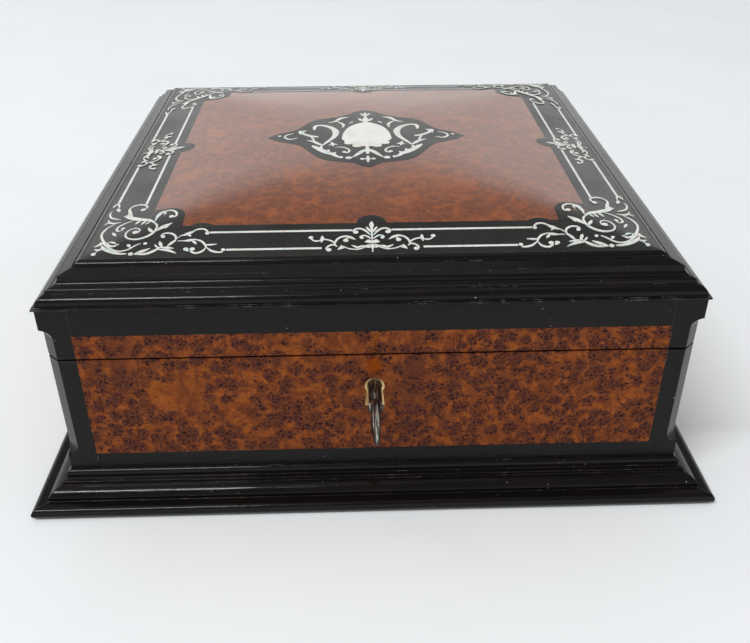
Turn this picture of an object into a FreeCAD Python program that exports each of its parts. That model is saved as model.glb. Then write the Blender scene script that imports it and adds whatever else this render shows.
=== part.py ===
import FreeCAD, Part
import math
import os

from FreeCAD import Vector

# Inlaid table box: square case on a moulded plinth, hinged lid with a low dome, box lock and key.
# Millimetres, +Z up, front is -Y. The origin is the middle of the underside.

# Case
case_width = 270.0            # outside of the case walls, the same in width and depth
wall_thickness = 12.5
stile_width = 12.5           # black corner posts, as seen on each face
base_thickness = 7.0
case_top = 72.95             # upper edge of the case walls
seam_gap = 0.9               # dark line between the case and the lid
bottom_rail_top = 23.9       # lower edge of the burl on the case
veneer_thickness = 0.8

# Stopped chamfers on the corner posts
chamfer_leg = 5.0
chamfer_bottom = 23.5
chamfer_top = 88.0
chamfer_stop_length = 4.5

# Plinth moulding, from the case face outwards and down
plinth_height = 15.45
plinth_bead_run = 2.0
plinth_bead_drop = 1.7
plinth_quirk_drop = 2.0
plinth_fillet_run = 2.2
plinth_fillet_drop = 0.4
plinth_step_drop = 1.6
plinth_ovolo_run = 5.4
plinth_ovolo_drop = 3.0
plinth_shelf_run = 3.8
plinth_nose_radius = 2.5
plinth_bead_bulge_depth = 0.4       # height of the curve over its chord
plinth_ovolo_bulge_depth = 0.75

# Lid walls and their strip of burl
lid_strip_height = 10.85
lid_frieze_height = 12.6

# Lid moulding, from the panel edge outwards and down
moulding_overhang = 1.0      # nose past the lid wall
moulding_run = 18.0          # nose back to the edge of the dome
moulding_roll_run = 3.0
moulding_roll_drop = 1.8
moulding_quirk = 0.5
moulding_slope_run = 4.8
moulding_slope_drop = 1.5
moulding_fillet_drop = 0.6
moulding_cove_radius = 3.0
moulding_bead_run = 1.5
moulding_bead_drop = 2.0
moulding_ovolo_run = 3.9
moulding_ovolo_drop = 2.9
moulding_nose_height = 0.8
moulding_nose_drop = 1.2
moulding_roll_bulge_depth = 0.55     # height of each curve over its chord
moulding_cove_bulge_depth = 0.87
moulding_bead_bulge_depth = 0.6
moulding_ovolo_bulge_depth = 0.78
panel_tongue_width = 8.0     # tongue of the panel under the moulding
panel_tongue_height = 3.7
dome_rise = 10.0

# Layout of the inlaid top
border_width = 22.8          # black border, dome edge to burl
outer_line_inset = 3.9
inner_line_inset = 17.6
line_width = 1.25
outer_line_corner = 54.5     # start of the outer line, from the corner of that line
inner_line_corner = 32.0
outer_line_gap = 20.6        # half the gap at the palmette
inner_line_gap = 8.0
bump_radius = 6.3            # black half round in the middle of each side of the burl
lobe_large = 8.2             # black lobes at the corners of the burl
lobe_large_in = 6.4
lobe_large_along = 8.3
lobe_small = 6.8
lobe_small_in = 4.8
lobe_small_along = 23.2
cartouche_half_width = 51.2
cartouche_top = 41.5                   # points of the cartouche, behind and before its middle
cartouche_foot = 44.2
cartouche_upper_neck = (39.0, 8.6)     # corners between the curves, one half
cartouche_upper_shoulder = (20.5, 25.8)
cartouche_lower_neck = (37.8, -11.2)
cartouche_lower_shoulder = (17.8, -37.0)
cartouche_upper_swells = ((46.0, 6.0), (30.6, 18.4), (9.4, 32.2))       # points the curves pass through
cartouche_lower_swells = ((45.4, -6.9), (27.4, -26.8), (7.0, -39.8))
medallion_half_width = 12.6
medallion_half_height = 17.2

# Inlaid strokes: start, a point on the outer curve, end
stroke_points = 5                      # corners left by the saw along each side of a stroke
corner_stem = ((3, 28), (1.6, 6.6), (16, -1))          # from the corner of the outer line
corner_volute = ((10.6, 17), (15.6, 9.4), (22.6, 18))
corner_acanthus = ((22.3, 21), (5.3, 33.9))
corner_side_curl = ((6.7, 37), (9.1, 43.9), (14.6, 39.6))
corner_arm = ((29.6, 4.1), (34.2, 11.5), (44.4, 13.4))
palmette_bud = ((0, -3), (0, 19.3))                    # from the middle of the outer line
palmette_curl = ((0.4, 9.5), (4.4, 13.8), (7.8, 11))
palmette_arm = ((2, 0.4), (13.6, 2.4), (19.6, -1.4))
cartouche_hook = ((-27, 8), (-15.2, 3.5), (-22.4, -16))  # from the middle of the lid
cartouche_garland = ((-27.8, -15), (-21.6, -26.6), (-9, -33.4))
cartouche_finial = ((0, 16), (0, 37))
cartouche_drop = ((0, -16), (0, -38.4))
fine_stroke = 1.9
broad_stroke = 2.4
leaf_stroke = 3.2

# Lock, key and keyhole
key_drop = 15.65             # middle of the round of the keyhole, below the case top
lock_half_width = 22.0
lock_foot_room = 1.35        # room under the bit of the key
lock_skin = 2.6              # wood left in front of the lock
lock_plate = 1.0
selvedge_thickness = 1.2
selvedge_reach = 8.0
escutcheon_round = 4.25
escutcheon_waist = 3.3
escutcheon_foot = 4.25
escutcheon_height = 14.5
keyhole_round = 3.15
keyhole_slot = 1.45
key_barrel_radius = 2.8
key_bore_radius = 1.6
key_pin_clearance = 0.1
key_reach = 34.0             # key outside the front face
key_bow_width = 19.0
key_bow_thickness = 3.4
key_bow_rim = 3.6
key_bit_radius = 7.5
key_bit_thickness = 2.3
key_bit_length = 5.0
key_bit_notch = 1.2
key_collar_radius = 3.5
key_collar_length = 1.4
bolt_travel = 7.0
bolt_spring_room = 2.85      # height left for the spring over the bolt
bolt_lift = 5.0              # underside of the bolt over the middle of the key
bolt_length = 27.0
bolt_nose = 7.5
bolt_nose_thickness = 2.6
bolt_nose_height = 4.4
staple_thickness = 2.5
staple_leg = 1.3
staple_stand_off = 1.25      # bolt nose to staple with the bolt drawn back
spring_thickness = 0.5

# Hinges
hinge_offset = 75.0
hinge_length = 40.0
hinge_leaf = 0.9
hinge_leaf_depth = 9.5
knuckle_radius = 1.9
knuckle_gap = 0.3
pin_radius = 0.9
pin_clearance = 0.05

# Lining
lining_thickness = 2.0
floor_lining_thickness = 3.0
lining_reveal = 1.5          # lining edge below the case top
lid_pad_thickness = 6.0
running_clearance = 0.3
stroke_tolerance = 0.01

# Levels and half widths that follow from the driving sizes
case_half = case_width / 2
inner_half = case_half - wall_thickness
post_inner = case_half - stile_width
lid_bottom = case_top + seam_gap
strip_top = lid_bottom + lid_strip_height
lid_wall_top = strip_top + lid_frieze_height
nose_half = case_half + moulding_overhang
dome_half = nose_half - moulding_run
moulding_drop = (moulding_roll_drop + moulding_slope_drop + moulding_fillet_drop + moulding_cove_radius
                 + moulding_bead_drop + moulding_ovolo_drop + moulding_nose_drop + moulding_nose_height)
dome_edge = lid_wall_top + moulding_drop
tongue_half = dome_half + panel_tongue_width
tongue_top = lid_wall_top + panel_tongue_height
burl_half = dome_half - border_width
outer_line = dome_half - outer_line_inset
inner_line = dome_half - inner_line_inset
key_height = case_top - key_drop
hinge_height = case_top + seam_gap / 2
hinge_back = case_half + knuckle_radius + running_clearance
hinge_leaf_edge = case_half - running_clearance
lock_front = -case_half + lock_skin
lock_back = -inner_half
lock_roof = case_top - selvedge_thickness
lock_low = key_height - key_bit_radius - lock_foot_room - lock_plate
lock_inside_front = lock_front + lock_plate
lock_inside_back = lock_back - lock_plate
bolt_bottom = key_height + bolt_lift
bolt_top = lock_roof - bolt_spring_room
bolt_middle = (lock_inside_front + lock_inside_back) / 2
bolt_nose_end = bolt_length / 2
staple_middle = bolt_nose_end + staple_stand_off + staple_thickness / 2
floor_top = base_thickness + floor_lining_thickness

up = Vector(0, 0, 1)
origin = Vector(0, 0, 0)
far = 2 * case_width


def block(x0, x1, y0, y1, z0, z1):
    return Part.makeBox(x1 - x0, y1 - y0, z1 - z0, Vector(x0, y0, z0))


def square_block(half, z0, z1):
    return block(-half, half, -half, half, z0, z1)


def rod(start, direction, radius, length):
    return Part.makeCylinder(radius, length, start, direction)


def turned(shape, degrees):
    copy = shape.copy()
    copy.rotate(origin, up, degrees)
    return copy


def moved(shape, x, y, z):
    copy = shape.copy()
    copy.translate(Vector(x, y, z))
    return copy


def flipped(shape, direction):
    return shape.mirror(origin, direction)


def joined(shapes):
    return shapes[0].multiFuse(shapes[1:]).removeSplitter()


def line(a, b):
    return Part.LineSegment(a, b).toShape()


def arc(a, middle, b):
    return Part.Arc(a, middle, b).toShape()


def bowed(a, b, bulge):
    # Arc in a profile from a to b; bulge is its height over the chord, to the left of the way.
    chord = b.sub(a)
    side = Vector(0, -chord.z, chord.y)
    side.normalize()
    middle = a.add(b).multiply(0.5).add(side.multiply(bulge))
    return arc(a, middle, b)


def face_of(edges):
    return Part.Face(Part.Wire(Part.__sortEdges__(edges)))


def group(shapes):
    solids = []
    for shape in shapes:
        solids.extend(shape.Solids)
    return Part.makeCompound(solids)


def export(name, shape):
    shape.exportStep(os.path.join("parts", name + ".step"))


def front_wedge():
    # Everything that belongs to the front side of a square mitred at 45 degrees.
    corner_left = Vector(-far, -far, -far)
    corner_right = Vector(far, -far, -far)
    outline = Part.makePolygon([Vector(0, 0, -far), corner_left, corner_right, Vector(0, 0, -far)])
    return Part.Face(outline).extrude(Vector(0, 0, 2 * far))


side_names = ("front", "right", "back", "left")
mitre = front_wedge()


def side_turn(side):
    # Degrees from the front, anticlockwise as seen from above.
    return 360 / len(side_names) * side_names.index(side)


def on_side(shape, side):
    return turned(shape, side_turn(side))


def all_round(shape):
    return group([on_side(shape, side) for side in side_names])


def profile_point(out, height):
    return Vector(-far / 2, -out, height)


def front_stick(edges):
    return face_of(edges).extrude(Vector(far, 0, 0)).common(mitre)


def four_sides(name, stick):
    for side in side_names:
        export(name + "_" + side, on_side(stick, side))


# Plinth: bead, quirk, fillet, ovolo, shelf and a half-round nose, mitred at the corners
def plinth_stick():
    out = case_half
    height = plinth_height
    edges = []
    start = profile_point(out, 0)
    here = profile_point(out, height)
    edges.append(line(start, here))
    out += plinth_bead_run
    height -= plinth_bead_drop
    there = profile_point(out, height)
    edges.append(bowed(here, there, -plinth_bead_bulge_depth))
    here = there
    height -= plinth_quirk_drop
    there = profile_point(out, height)
    edges.append(line(here, there))
    here = there
    out += plinth_fillet_run
    height -= plinth_fillet_drop
    there = profile_point(out, height)
    edges.append(line(here, there))
    here = there
    height -= plinth_step_drop
    there = profile_point(out, height)
    edges.append(line(here, there))
    here = there
    out += plinth_ovolo_run
    height -= plinth_ovolo_drop
    there = profile_point(out, height)
    edges.append(bowed(here, there, -plinth_ovolo_bulge_depth))
    here = there
    height = 2 * plinth_nose_radius
    there = profile_point(out, height)
    edges.append(line(here, there))
    here = there
    out += plinth_shelf_run
    there = profile_point(out, height)
    edges.append(line(here, there))
    here = there
    tip = profile_point(out + plinth_nose_radius, plinth_nose_radius)
    there = profile_point(out, 0)
    edges.append(arc(here, tip, there))
    edges.append(line(there, start))
    return front_stick(edges)


# Stopped chamfer: a flat cut across the corner that runs out in a scoop at each end
def chamfer_tool():
    depth = chamfer_leg / math.sqrt(2)
    stop = chamfer_stop_length
    radius = (depth * depth + stop * stop) / (2 * depth)
    half_angle = math.asin(stop / radius) / 2
    inset = depth - radius + radius * math.cos(half_angle)
    rise = radius * math.sin(half_angle)
    low = chamfer_bottom
    high = chamfer_top
    outside = -chamfer_leg
    edges = [line(Vector(outside, 0, low), Vector(0, 0, low))]
    edges.append(arc(Vector(0, 0, low), Vector(inset, 0, low + stop - rise), Vector(depth, 0, low + stop)))
    edges.append(line(Vector(depth, 0, low + stop), Vector(depth, 0, high - stop)))
    edges.append(arc(Vector(depth, 0, high - stop), Vector(inset, 0, high - stop + rise), Vector(0, 0, high)))
    edges.append(line(Vector(0, 0, high), Vector(outside, 0, high)))
    edges.append(line(Vector(outside, 0, high), Vector(outside, 0, low)))
    cut = face_of(edges).extrude(Vector(0, 4 * chamfer_leg, 0))
    cut.translate(Vector(0, -2 * chamfer_leg, 0))
    cut.rotate(origin, up, 45)
    cut.translate(Vector(-case_half, -case_half, 0))
    return cut


def corner_posts(low, high):
    post = block(-case_half, -post_inner, -case_half, -post_inner, low, high)
    post = post.cut(square_block(inner_half, low, high)).cut(chamfer_tool())
    return all_round(post)


# Walls: boards between the posts, with a shallow bed for the burl
def front_wall(low, high):
    wall = block(-case_half, case_half, -case_half, -inner_half, low, high).common(mitre)
    for x in (-1, 1):
        post = block(-stile_width, 0, -case_half, -post_inner, low, high)
        wall = wall.cut(moved(post, -post_inner if x < 0 else case_half, 0, 0))
    return wall


def front_bed(low, high):
    return block(-post_inner, post_inner, -case_half, -case_half + veneer_thickness, low, high)


# Keyhole outline: a round over a skirt that flares to the foot
def keyhole_prism(round_radius, waist, foot, drop, y0, y1):
    centre = Vector(0, y0, key_height)
    head = rod(centre, Vector(0, 1, 0), round_radius, y1 - y0)
    low = key_height - drop
    corners = [Vector(-waist, y0, key_height), Vector(waist, y0, key_height)]
    corners += [Vector(foot, y0, low), Vector(-foot, y0, low), Vector(-waist, y0, key_height)]
    skirt = Part.Face(Part.makePolygon(corners)).extrude(Vector(0, y1 - y0, 0))
    return joined([head, skirt])


def escutcheon_prism(y0, y1):
    drop = escutcheon_height - escutcheon_round
    return keyhole_prism(escutcheon_round, escutcheon_waist, escutcheon_foot, drop, y0, y1)


def key_passage(y0, y1):
    drop = key_bit_radius + running_clearance
    return keyhole_prism(keyhole_round, keyhole_slot, keyhole_slot, drop, y0, y1)


# Butt hinges: two leaves let into the edges, three knuckles and a pin
def hinge_leaf_at(x, upper):
    third = hinge_length / 3
    gap = knuckle_gap / 2
    sign = 1 if upper else -1
    inner_face = lid_bottom if upper else case_top
    low = min(inner_face, inner_face + sign * hinge_leaf)
    high = low + hinge_leaf
    front = hinge_leaf_edge - hinge_leaf_depth
    half = hinge_length / 2
    plate = block(x - half, x + half, front, hinge_leaf_edge, low, high)
    spans = [(x - third / 2 + gap, x + third / 2 - gap)]
    if not upper:
        spans = [(x - half, x - third / 2 - gap), (x + third / 2 + gap, x + half)]
    pieces = [plate]
    for start, end in spans:
        knuckle_start = Vector(start, hinge_back, hinge_height)
        pieces.append(rod(knuckle_start, Vector(1, 0, 0), knuckle_radius, end - start))
        pieces.append(block(start, end, hinge_leaf_edge, hinge_back, low, high))
    leaf = joined(pieces)
    bore_start = Vector(x - half, hinge_back, hinge_height)
    return leaf.cut(rod(bore_start, Vector(1, 0, 0), pin_radius + pin_clearance, hinge_length))


def hinge_pin_at(x):
    half = hinge_length / 2
    return rod(Vector(x - half, hinge_back, hinge_height), Vector(1, 0, 0), pin_radius, hinge_length)


def hinge_bed_at(x, upper):
    sign = 1 if upper else -1
    face = lid_bottom if upper else case_top
    low = min(face, face + sign * hinge_leaf)
    front = hinge_leaf_edge - hinge_leaf_depth
    half = hinge_length / 2
    return block(x - half, x + half, front, case_half, low, low + hinge_leaf)


hinge_places = (-hinge_offset, hinge_offset)


# Lock: a box let into the front wall from inside, closed by a back plate with the key pin
def lock_selvedge_blank(z0, z1):
    reach = lock_half_width + selvedge_reach
    return block(-reach, reach, lock_front, lock_back, z0, z1)


def lock_mortise():
    pocket = block(-lock_half_width, lock_half_width, lock_front, lock_back, lock_low, case_top)
    return joined([pocket, lock_selvedge_blank(lock_roof, case_top)])


def lock_case():
    outer = block(-lock_half_width, lock_half_width, lock_front, lock_inside_back, lock_low, lock_roof)
    inner_x = lock_half_width - lock_plate
    inner = block(-inner_x, inner_x, lock_inside_front, lock_back, lock_low + lock_plate, case_top)
    return outer.cut(inner).cut(key_passage(lock_front, lock_inside_front))


def lock_back_plate():
    return block(-lock_half_width, lock_half_width, lock_inside_back, lock_back, lock_low, lock_roof)


def lock_key_pin():
    length = lock_inside_back - lock_front
    start = Vector(0, lock_inside_back, key_height)
    return rod(start, Vector(0, -1, 0), key_bore_radius - key_pin_clearance, length)


def staple_slot():
    x0 = staple_middle - staple_thickness / 2 - 2 * running_clearance
    x1 = staple_middle + staple_thickness / 2 + 2 * running_clearance
    return block(x0, x1, lock_inside_front, lock_inside_back, lock_roof, case_top)


# Bolt: a bar with a wide talon for the bit and a thin nose for the staple
def lock_bolt():
    front = lock_inside_front + running_clearance
    back = lock_inside_back - running_clearance
    tail = -bolt_length / 2
    shoulder = bolt_nose_end - bolt_nose
    bar = block(tail, shoulder, front, back, bolt_bottom, bolt_top)
    nose_low = (bolt_bottom + bolt_top - bolt_nose_height) / 2
    half = bolt_nose_thickness / 2
    nose = block(shoulder, bolt_nose_end, bolt_middle - half, bolt_middle + half,
                 nose_low, nose_low + bolt_nose_height)
    engage = math.acos(bolt_lift / key_bit_radius)
    drift = bolt_travel * engage / (2 * math.pi)
    talon_half = key_bit_radius * math.sin(engage) + key_bit_thickness / 2 - drift + 2 * running_clearance
    talon_top = key_height + key_bit_radius + 2 * running_clearance
    middle = -bolt_travel / 2
    talon = block(middle - talon_half, middle + talon_half, front, back, bolt_bottom, talon_top)
    return joined([bar.cut(talon), nose])


# Flat spring bowed between the bolt and the selvedge
def lock_spring():
    low = bolt_top + running_clearance
    high = lock_roof
    half = bolt_length / 4
    thick = spring_thickness
    x = -bolt_length / 4
    y0 = bolt_middle - bolt_nose_thickness / 2
    lower = arc(Vector(x - half, y0, high - thick), Vector(x, y0, low), Vector(x + half, y0, high - thick))
    upper = arc(Vector(x - half, y0, high), Vector(x, y0, low + thick), Vector(x + half, y0, high))
    ends = [line(Vector(x + s * half, y0, high - thick), Vector(x + s * half, y0, high)) for s in (-1, 1)]
    return face_of([lower, upper] + ends).extrude(Vector(0, bolt_nose_thickness, 0))


# Strike plate in the lid with a staple that drops through the selvedge
def strike_plate():
    plate = lock_selvedge_blank(lid_bottom, lid_bottom + selvedge_thickness)
    eye_half = bolt_nose_thickness / 2 + running_clearance
    outer_half = eye_half + staple_leg
    nose_low = (bolt_bottom + bolt_top - bolt_nose_height) / 2
    eye_low = nose_low - eye_half
    low = eye_low - staple_leg
    x0 = staple_middle - staple_thickness / 2
    x1 = staple_middle + staple_thickness / 2
    loop = block(x0, x1, bolt_middle - outer_half, bolt_middle + outer_half, low + outer_half, lid_bottom)
    toe = rod(Vector(x0, bolt_middle, low + outer_half), Vector(1, 0, 0), outer_half, x1 - x0)
    eye_high = nose_low + bolt_nose_height + running_clearance
    eye = block(x0, x1, bolt_middle - eye_half, bolt_middle + eye_half, eye_low + eye_half, eye_high)
    eye_toe = rod(Vector(x0, bolt_middle, eye_low + eye_half), Vector(1, 0, 0), eye_half, x1 - x0)
    return joined([plate, loop, toe]).cut(eye).cut(eye_toe)


# Key: pipe barrel, collar, oval bow and a bit with one ward cut
def key():
    tip = lock_inside_back - running_clearance
    bow_end = -case_half - key_reach
    neck = bow_end + key_bow_width - key_bow_rim / 2
    barrel = rod(Vector(0, neck, key_height), Vector(0, 1, 0), key_barrel_radius, tip - neck)
    collar = rod(Vector(0, neck + key_collar_length, key_height), Vector(0, 1, 0),
                 key_collar_radius, key_collar_length)
    bow_middle = Vector(-key_bow_thickness / 2, bow_end + key_bow_width / 2, key_height)
    outer = rod(bow_middle, Vector(1, 0, 0), key_bow_width / 2, key_bow_thickness)
    inner = rod(bow_middle, Vector(1, 0, 0), key_bow_width / 2 - key_bow_rim, key_bow_thickness)
    ring = outer.cut(inner)
    bit_back = tip - running_clearance
    half = key_bit_thickness / 2
    low = key_height - key_bit_radius
    bit = block(-half, half, bit_back - key_bit_length, bit_back, low, key_height)
    notch_y = bit_back - key_bit_length / 2
    notch = block(-half, half, notch_y - key_bit_notch / 2, notch_y + key_bit_notch / 2,
                  low, low + key_bit_notch)
    bore_length = lock_inside_back - lock_front + running_clearance
    bore = rod(Vector(0, tip, key_height), Vector(0, -1, 0), key_bore_radius, bore_length)
    solid = joined([barrel, collar, ring, bit.cut(notch)])
    return solid.cut(bore)


# Lid moulding: rolled edge, slope, fillet, cove, bead, ovolo and nose, mitred at the corners
def moulding_stick():
    out = dome_half
    height = dome_edge
    start = profile_point(out, height)
    edges = []
    here = start
    out += moulding_roll_run
    height -= moulding_roll_drop
    there = profile_point(out, height)
    edges.append(bowed(here, there, -moulding_roll_bulge_depth))
    here = there
    there = profile_point(out, height - moulding_quirk)
    edges.append(line(here, there))
    here = there
    out += moulding_quirk
    there = profile_point(out, height - moulding_quirk)
    edges.append(line(here, there))
    here = there
    there = profile_point(out, height)
    edges.append(line(here, there))
    here = there
    out += moulding_slope_run
    height -= moulding_slope_drop
    there = profile_point(out, height)
    edges.append(line(here, there))
    here = there
    height -= moulding_fillet_drop
    there = profile_point(out, height)
    edges.append(line(here, there))
    here = there
    out += moulding_cove_radius
    height -= moulding_cove_radius
    there = profile_point(out, height)
    edges.append(bowed(here, there, moulding_cove_bulge_depth))
    here = there
    out += moulding_bead_run
    height -= moulding_bead_drop
    there = profile_point(out, height)
    edges.append(bowed(here, there, -moulding_bead_bulge_depth))
    here = there
    out += moulding_ovolo_run
    height -= moulding_ovolo_drop
    there = profile_point(out, height)
    edges.append(bowed(here, there, -moulding_ovolo_bulge_depth))
    here = there
    height -= moulding_nose_drop
    there = profile_point(out, height)
    edges.append(line(here, there))
    here = there
    there = profile_point(nose_half, height)
    edges.append(line(here, there))
    here = there
    there = profile_point(nose_half, lid_wall_top)
    edges.append(line(here, there))
    corners = [(tongue_half, lid_wall_top), (tongue_half, tongue_top), (dome_half, tongue_top)]
    for out, height in corners:
        here = there
        there = profile_point(out, height)
        edges.append(line(here, there))
    edges.append(line(there, start))
    return front_stick(edges)


# Dome: two shallow barrels crossing at right angles over a plain sloping border with level edges
def dome_solid(lowered):
    radius = (dome_half * dome_half + dome_rise * dome_rise) / (2 * dome_rise)
    axis_height = dome_edge + dome_rise - radius
    border_rise = axis_height + math.sqrt(radius * radius - burl_half * burl_half) - dome_edge
    slope = border_rise / border_width
    low_half = dome_half + moulding_drop / slope
    high_half = dome_half - dome_rise / slope
    height = moulding_drop + dome_rise
    hip = Part.makeWedge(-low_half, 0, -low_half, -high_half, -high_half,
                         low_half, height, low_half, high_half, high_half)
    hip.rotate(origin, Vector(1, 0, 0), 90)
    hip.translate(Vector(0, 0, lid_wall_top))
    across = rod(Vector(-far, 0, axis_height), Vector(1, 0, 0), radius, 2 * far)
    along = rod(Vector(0, -far, axis_height), Vector(0, 1, 0), radius, 2 * far)
    return moved(hip.common(across).common(along), 0, 0, -lowered)


def lid_panel():
    tongue = square_block(tongue_half, lid_wall_top, tongue_top)
    body = square_block(dome_half, tongue_top, dome_edge + dome_rise).common(dome_solid(veneer_thickness))
    return joined([tongue, body])


def plan_prism(face):
    return moved(face, 0, 0, tongue_top).extrude(Vector(0, 0, moulding_drop + dome_rise))


def flat(x, y):
    return Vector(x, y, 0)


def plan_rectangle(x0, x1, y0, y1):
    corners = [flat(x0, y0), flat(x1, y0), flat(x1, y1), flat(x0, y1), flat(x0, y0)]
    return Part.Face(Part.makePolygon(corners))


def plan_corner(x0, y0, x1, y1):
    return plan_rectangle(min(x0, x1), max(x0, x1), min(y0, y1), max(y0, y1))


# Burl field: square with a black half round on each side and two black lobes at each corner
def burl_face():
    cuts = []
    for side in side_names:
        cuts.append(on_side(disc_face(0, -burl_half, bump_radius), side))
    for sx in (-1, 1):
        for sy in (-1, 1):
            near_x = sx * (burl_half - lobe_large_in)
            near_y = sy * (burl_half - lobe_large_along)
            cuts.append(disc_face(near_x, near_y, lobe_large))
            along_x = sx * (burl_half - lobe_small_along)
            along_y = sy * (burl_half + lobe_small_in)
            cuts.append(disc_face(along_x, along_y, lobe_small))
            cuts.append(plan_corner(sx * burl_half, sy * burl_half, near_x + sx * -lobe_large, near_y))
            cuts.append(plan_corner(sx * burl_half, sy * burl_half, near_x, near_y + sy * -lobe_large))
    return plan_rectangle(-burl_half, burl_half, -burl_half, burl_half).cut(cuts)


# Cartouche: lozenge of ogee curves with lower shoulders behind, built for one half and mirrored
def cartouche_edge(corners, swells):
    edge = []
    for start, middle, end in zip(corners, swells, corners[1:]):
        edge += sawn(start, middle, end)
    return edge


def cartouche_face():
    tip = (cartouche_half_width, 0)
    behind = (tip, cartouche_upper_neck, cartouche_upper_shoulder, (0, cartouche_top))
    before = (tip, cartouche_lower_neck, cartouche_lower_shoulder, (0, -cartouche_foot))
    upper = cartouche_edge(behind, cartouche_upper_swells)
    lower = cartouche_edge(before, cartouche_lower_swells)
    right = lower[::-1] + upper
    left = [flat(-corner.x, corner.y) for corner in reversed(right)]
    return polygon_face(right + left)


def oval_face(centre, half_x, half_y):
    long_x = half_x > half_y
    ellipse = Part.Ellipse(flat(0, 0), max(half_x, half_y), min(half_x, half_y))
    edge = ellipse.toShape()
    if not long_x:
        edge.rotate(origin, up, 90)
    edge.translate(centre)
    return Part.Face(Part.Wire([edge]))


def disc_face(x, y, radius):
    return Part.Face(Part.Wire([Part.Circle(flat(x, y), up, radius).toShape()]))


def sawn(a, middle, b):
    # The curve through three points, followed in short straight cuts.
    return arc(flat(*a), flat(*middle), flat(*b)).discretize(stroke_points)


def polygon_face(corners):
    kept = [corners[0]]
    for corner in corners[1:]:
        if corner.distanceToPoint(kept[-1]) > stroke_tolerance:
            kept.append(corner)
    if kept[-1].distanceToPoint(kept[0]) < stroke_tolerance:
        kept.pop()
    return Part.Face(Part.makePolygon(kept + kept[:1]))


# A crescent along an arc, and a leaf between two points
def crescent(points, width):
    a, middle, b = points
    inward = flat((a[0] + b[0]) / 2, (a[1] + b[1]) / 2).sub(flat(*middle))
    inward.normalize()
    inner = flat(*middle).add(inward.multiply(width))
    return polygon_face(sawn(a, middle, b) + sawn(b, (inner.x, inner.y), a))


def leaf(points, width):
    start, end = points
    side = up.cross(flat(*end).sub(flat(*start)))
    side.normalize()
    side.multiply(width / 2)
    middle = flat(*start).add(flat(*end)).multiply(0.5)
    left = middle.add(side)
    right = middle.sub(side)
    return polygon_face(sawn(start, (left.x, left.y), end) + sawn(end, (right.x, right.y), start))


# Corner scroll, in coordinates from the corner of the outer line: along the front, then along the side
def corner_faces():
    curves = [corner_stem, corner_volute, corner_side_curl]
    faces = [crescent(points, fine_stroke) for points in curves]
    faces.append(crescent(corner_arm, broad_stroke))
    faces.append(leaf(corner_acanthus, leaf_stroke))
    return faces


# Palmette, in coordinates from the middle of the outer line: along the side, then towards the burl
def palmette_faces():
    half = [crescent(palmette_curl, fine_stroke), crescent(palmette_arm, fine_stroke)]
    bud = leaf(palmette_bud, leaf_stroke)
    return half + [flipped(face, Vector(1, 0, 0)) for face in half] + [bud]


# Cartouche scrolls around the medallion: one half and its mirror image
def cartouche_faces():
    half = [crescent(cartouche_hook, broad_stroke), crescent(cartouche_garland, leaf_stroke)]
    faces = half + [flipped(face, Vector(1, 0, 0)) for face in half]
    return faces + [leaf(cartouche_finial, leaf_stroke), leaf(cartouche_drop, leaf_stroke)]


def medallion_face():
    return oval_face(flat(0, 0), medallion_half_width, medallion_half_height)


def islands(faces):
    # Strokes that touch become one upright prism.
    prisms = [plan_prism(face) for face in faces]
    return joined(prisms).Solids


def laid_in(prisms, layer):
    # Each outline sawn through the veneer and cut to the curve of the dome.
    return group([prism.common(layer) for prism in prisms])


def front_lines():
    half = line_width / 2
    strips = []
    for sx in (-1, 1):
        outer_x = sorted((sx * outer_line_gap, sx * (outer_line - outer_line_corner)))
        strips.append(plan_rectangle(outer_x[0], outer_x[1], -outer_line - half, -outer_line + half))
        inner_x = sorted((sx * inner_line_gap, sx * (inner_line - inner_line_corner)))
        strips.append(plan_rectangle(inner_x[0], inner_x[1], -inner_line - half, -inner_line + half))
    return strips


def four_corners(shape):
    across = flipped(shape, Vector(1, 0, 0))
    return group([shape, across, flipped(shape, Vector(0, 1, 0)), flipped(across, Vector(0, 1, 0))])


def lining_boards(low, high):
    board = block(-inner_half, inner_half, -inner_half, -inner_half + lining_thickness, low, high)
    board = board.common(mitre)
    return all_round(board)


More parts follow.
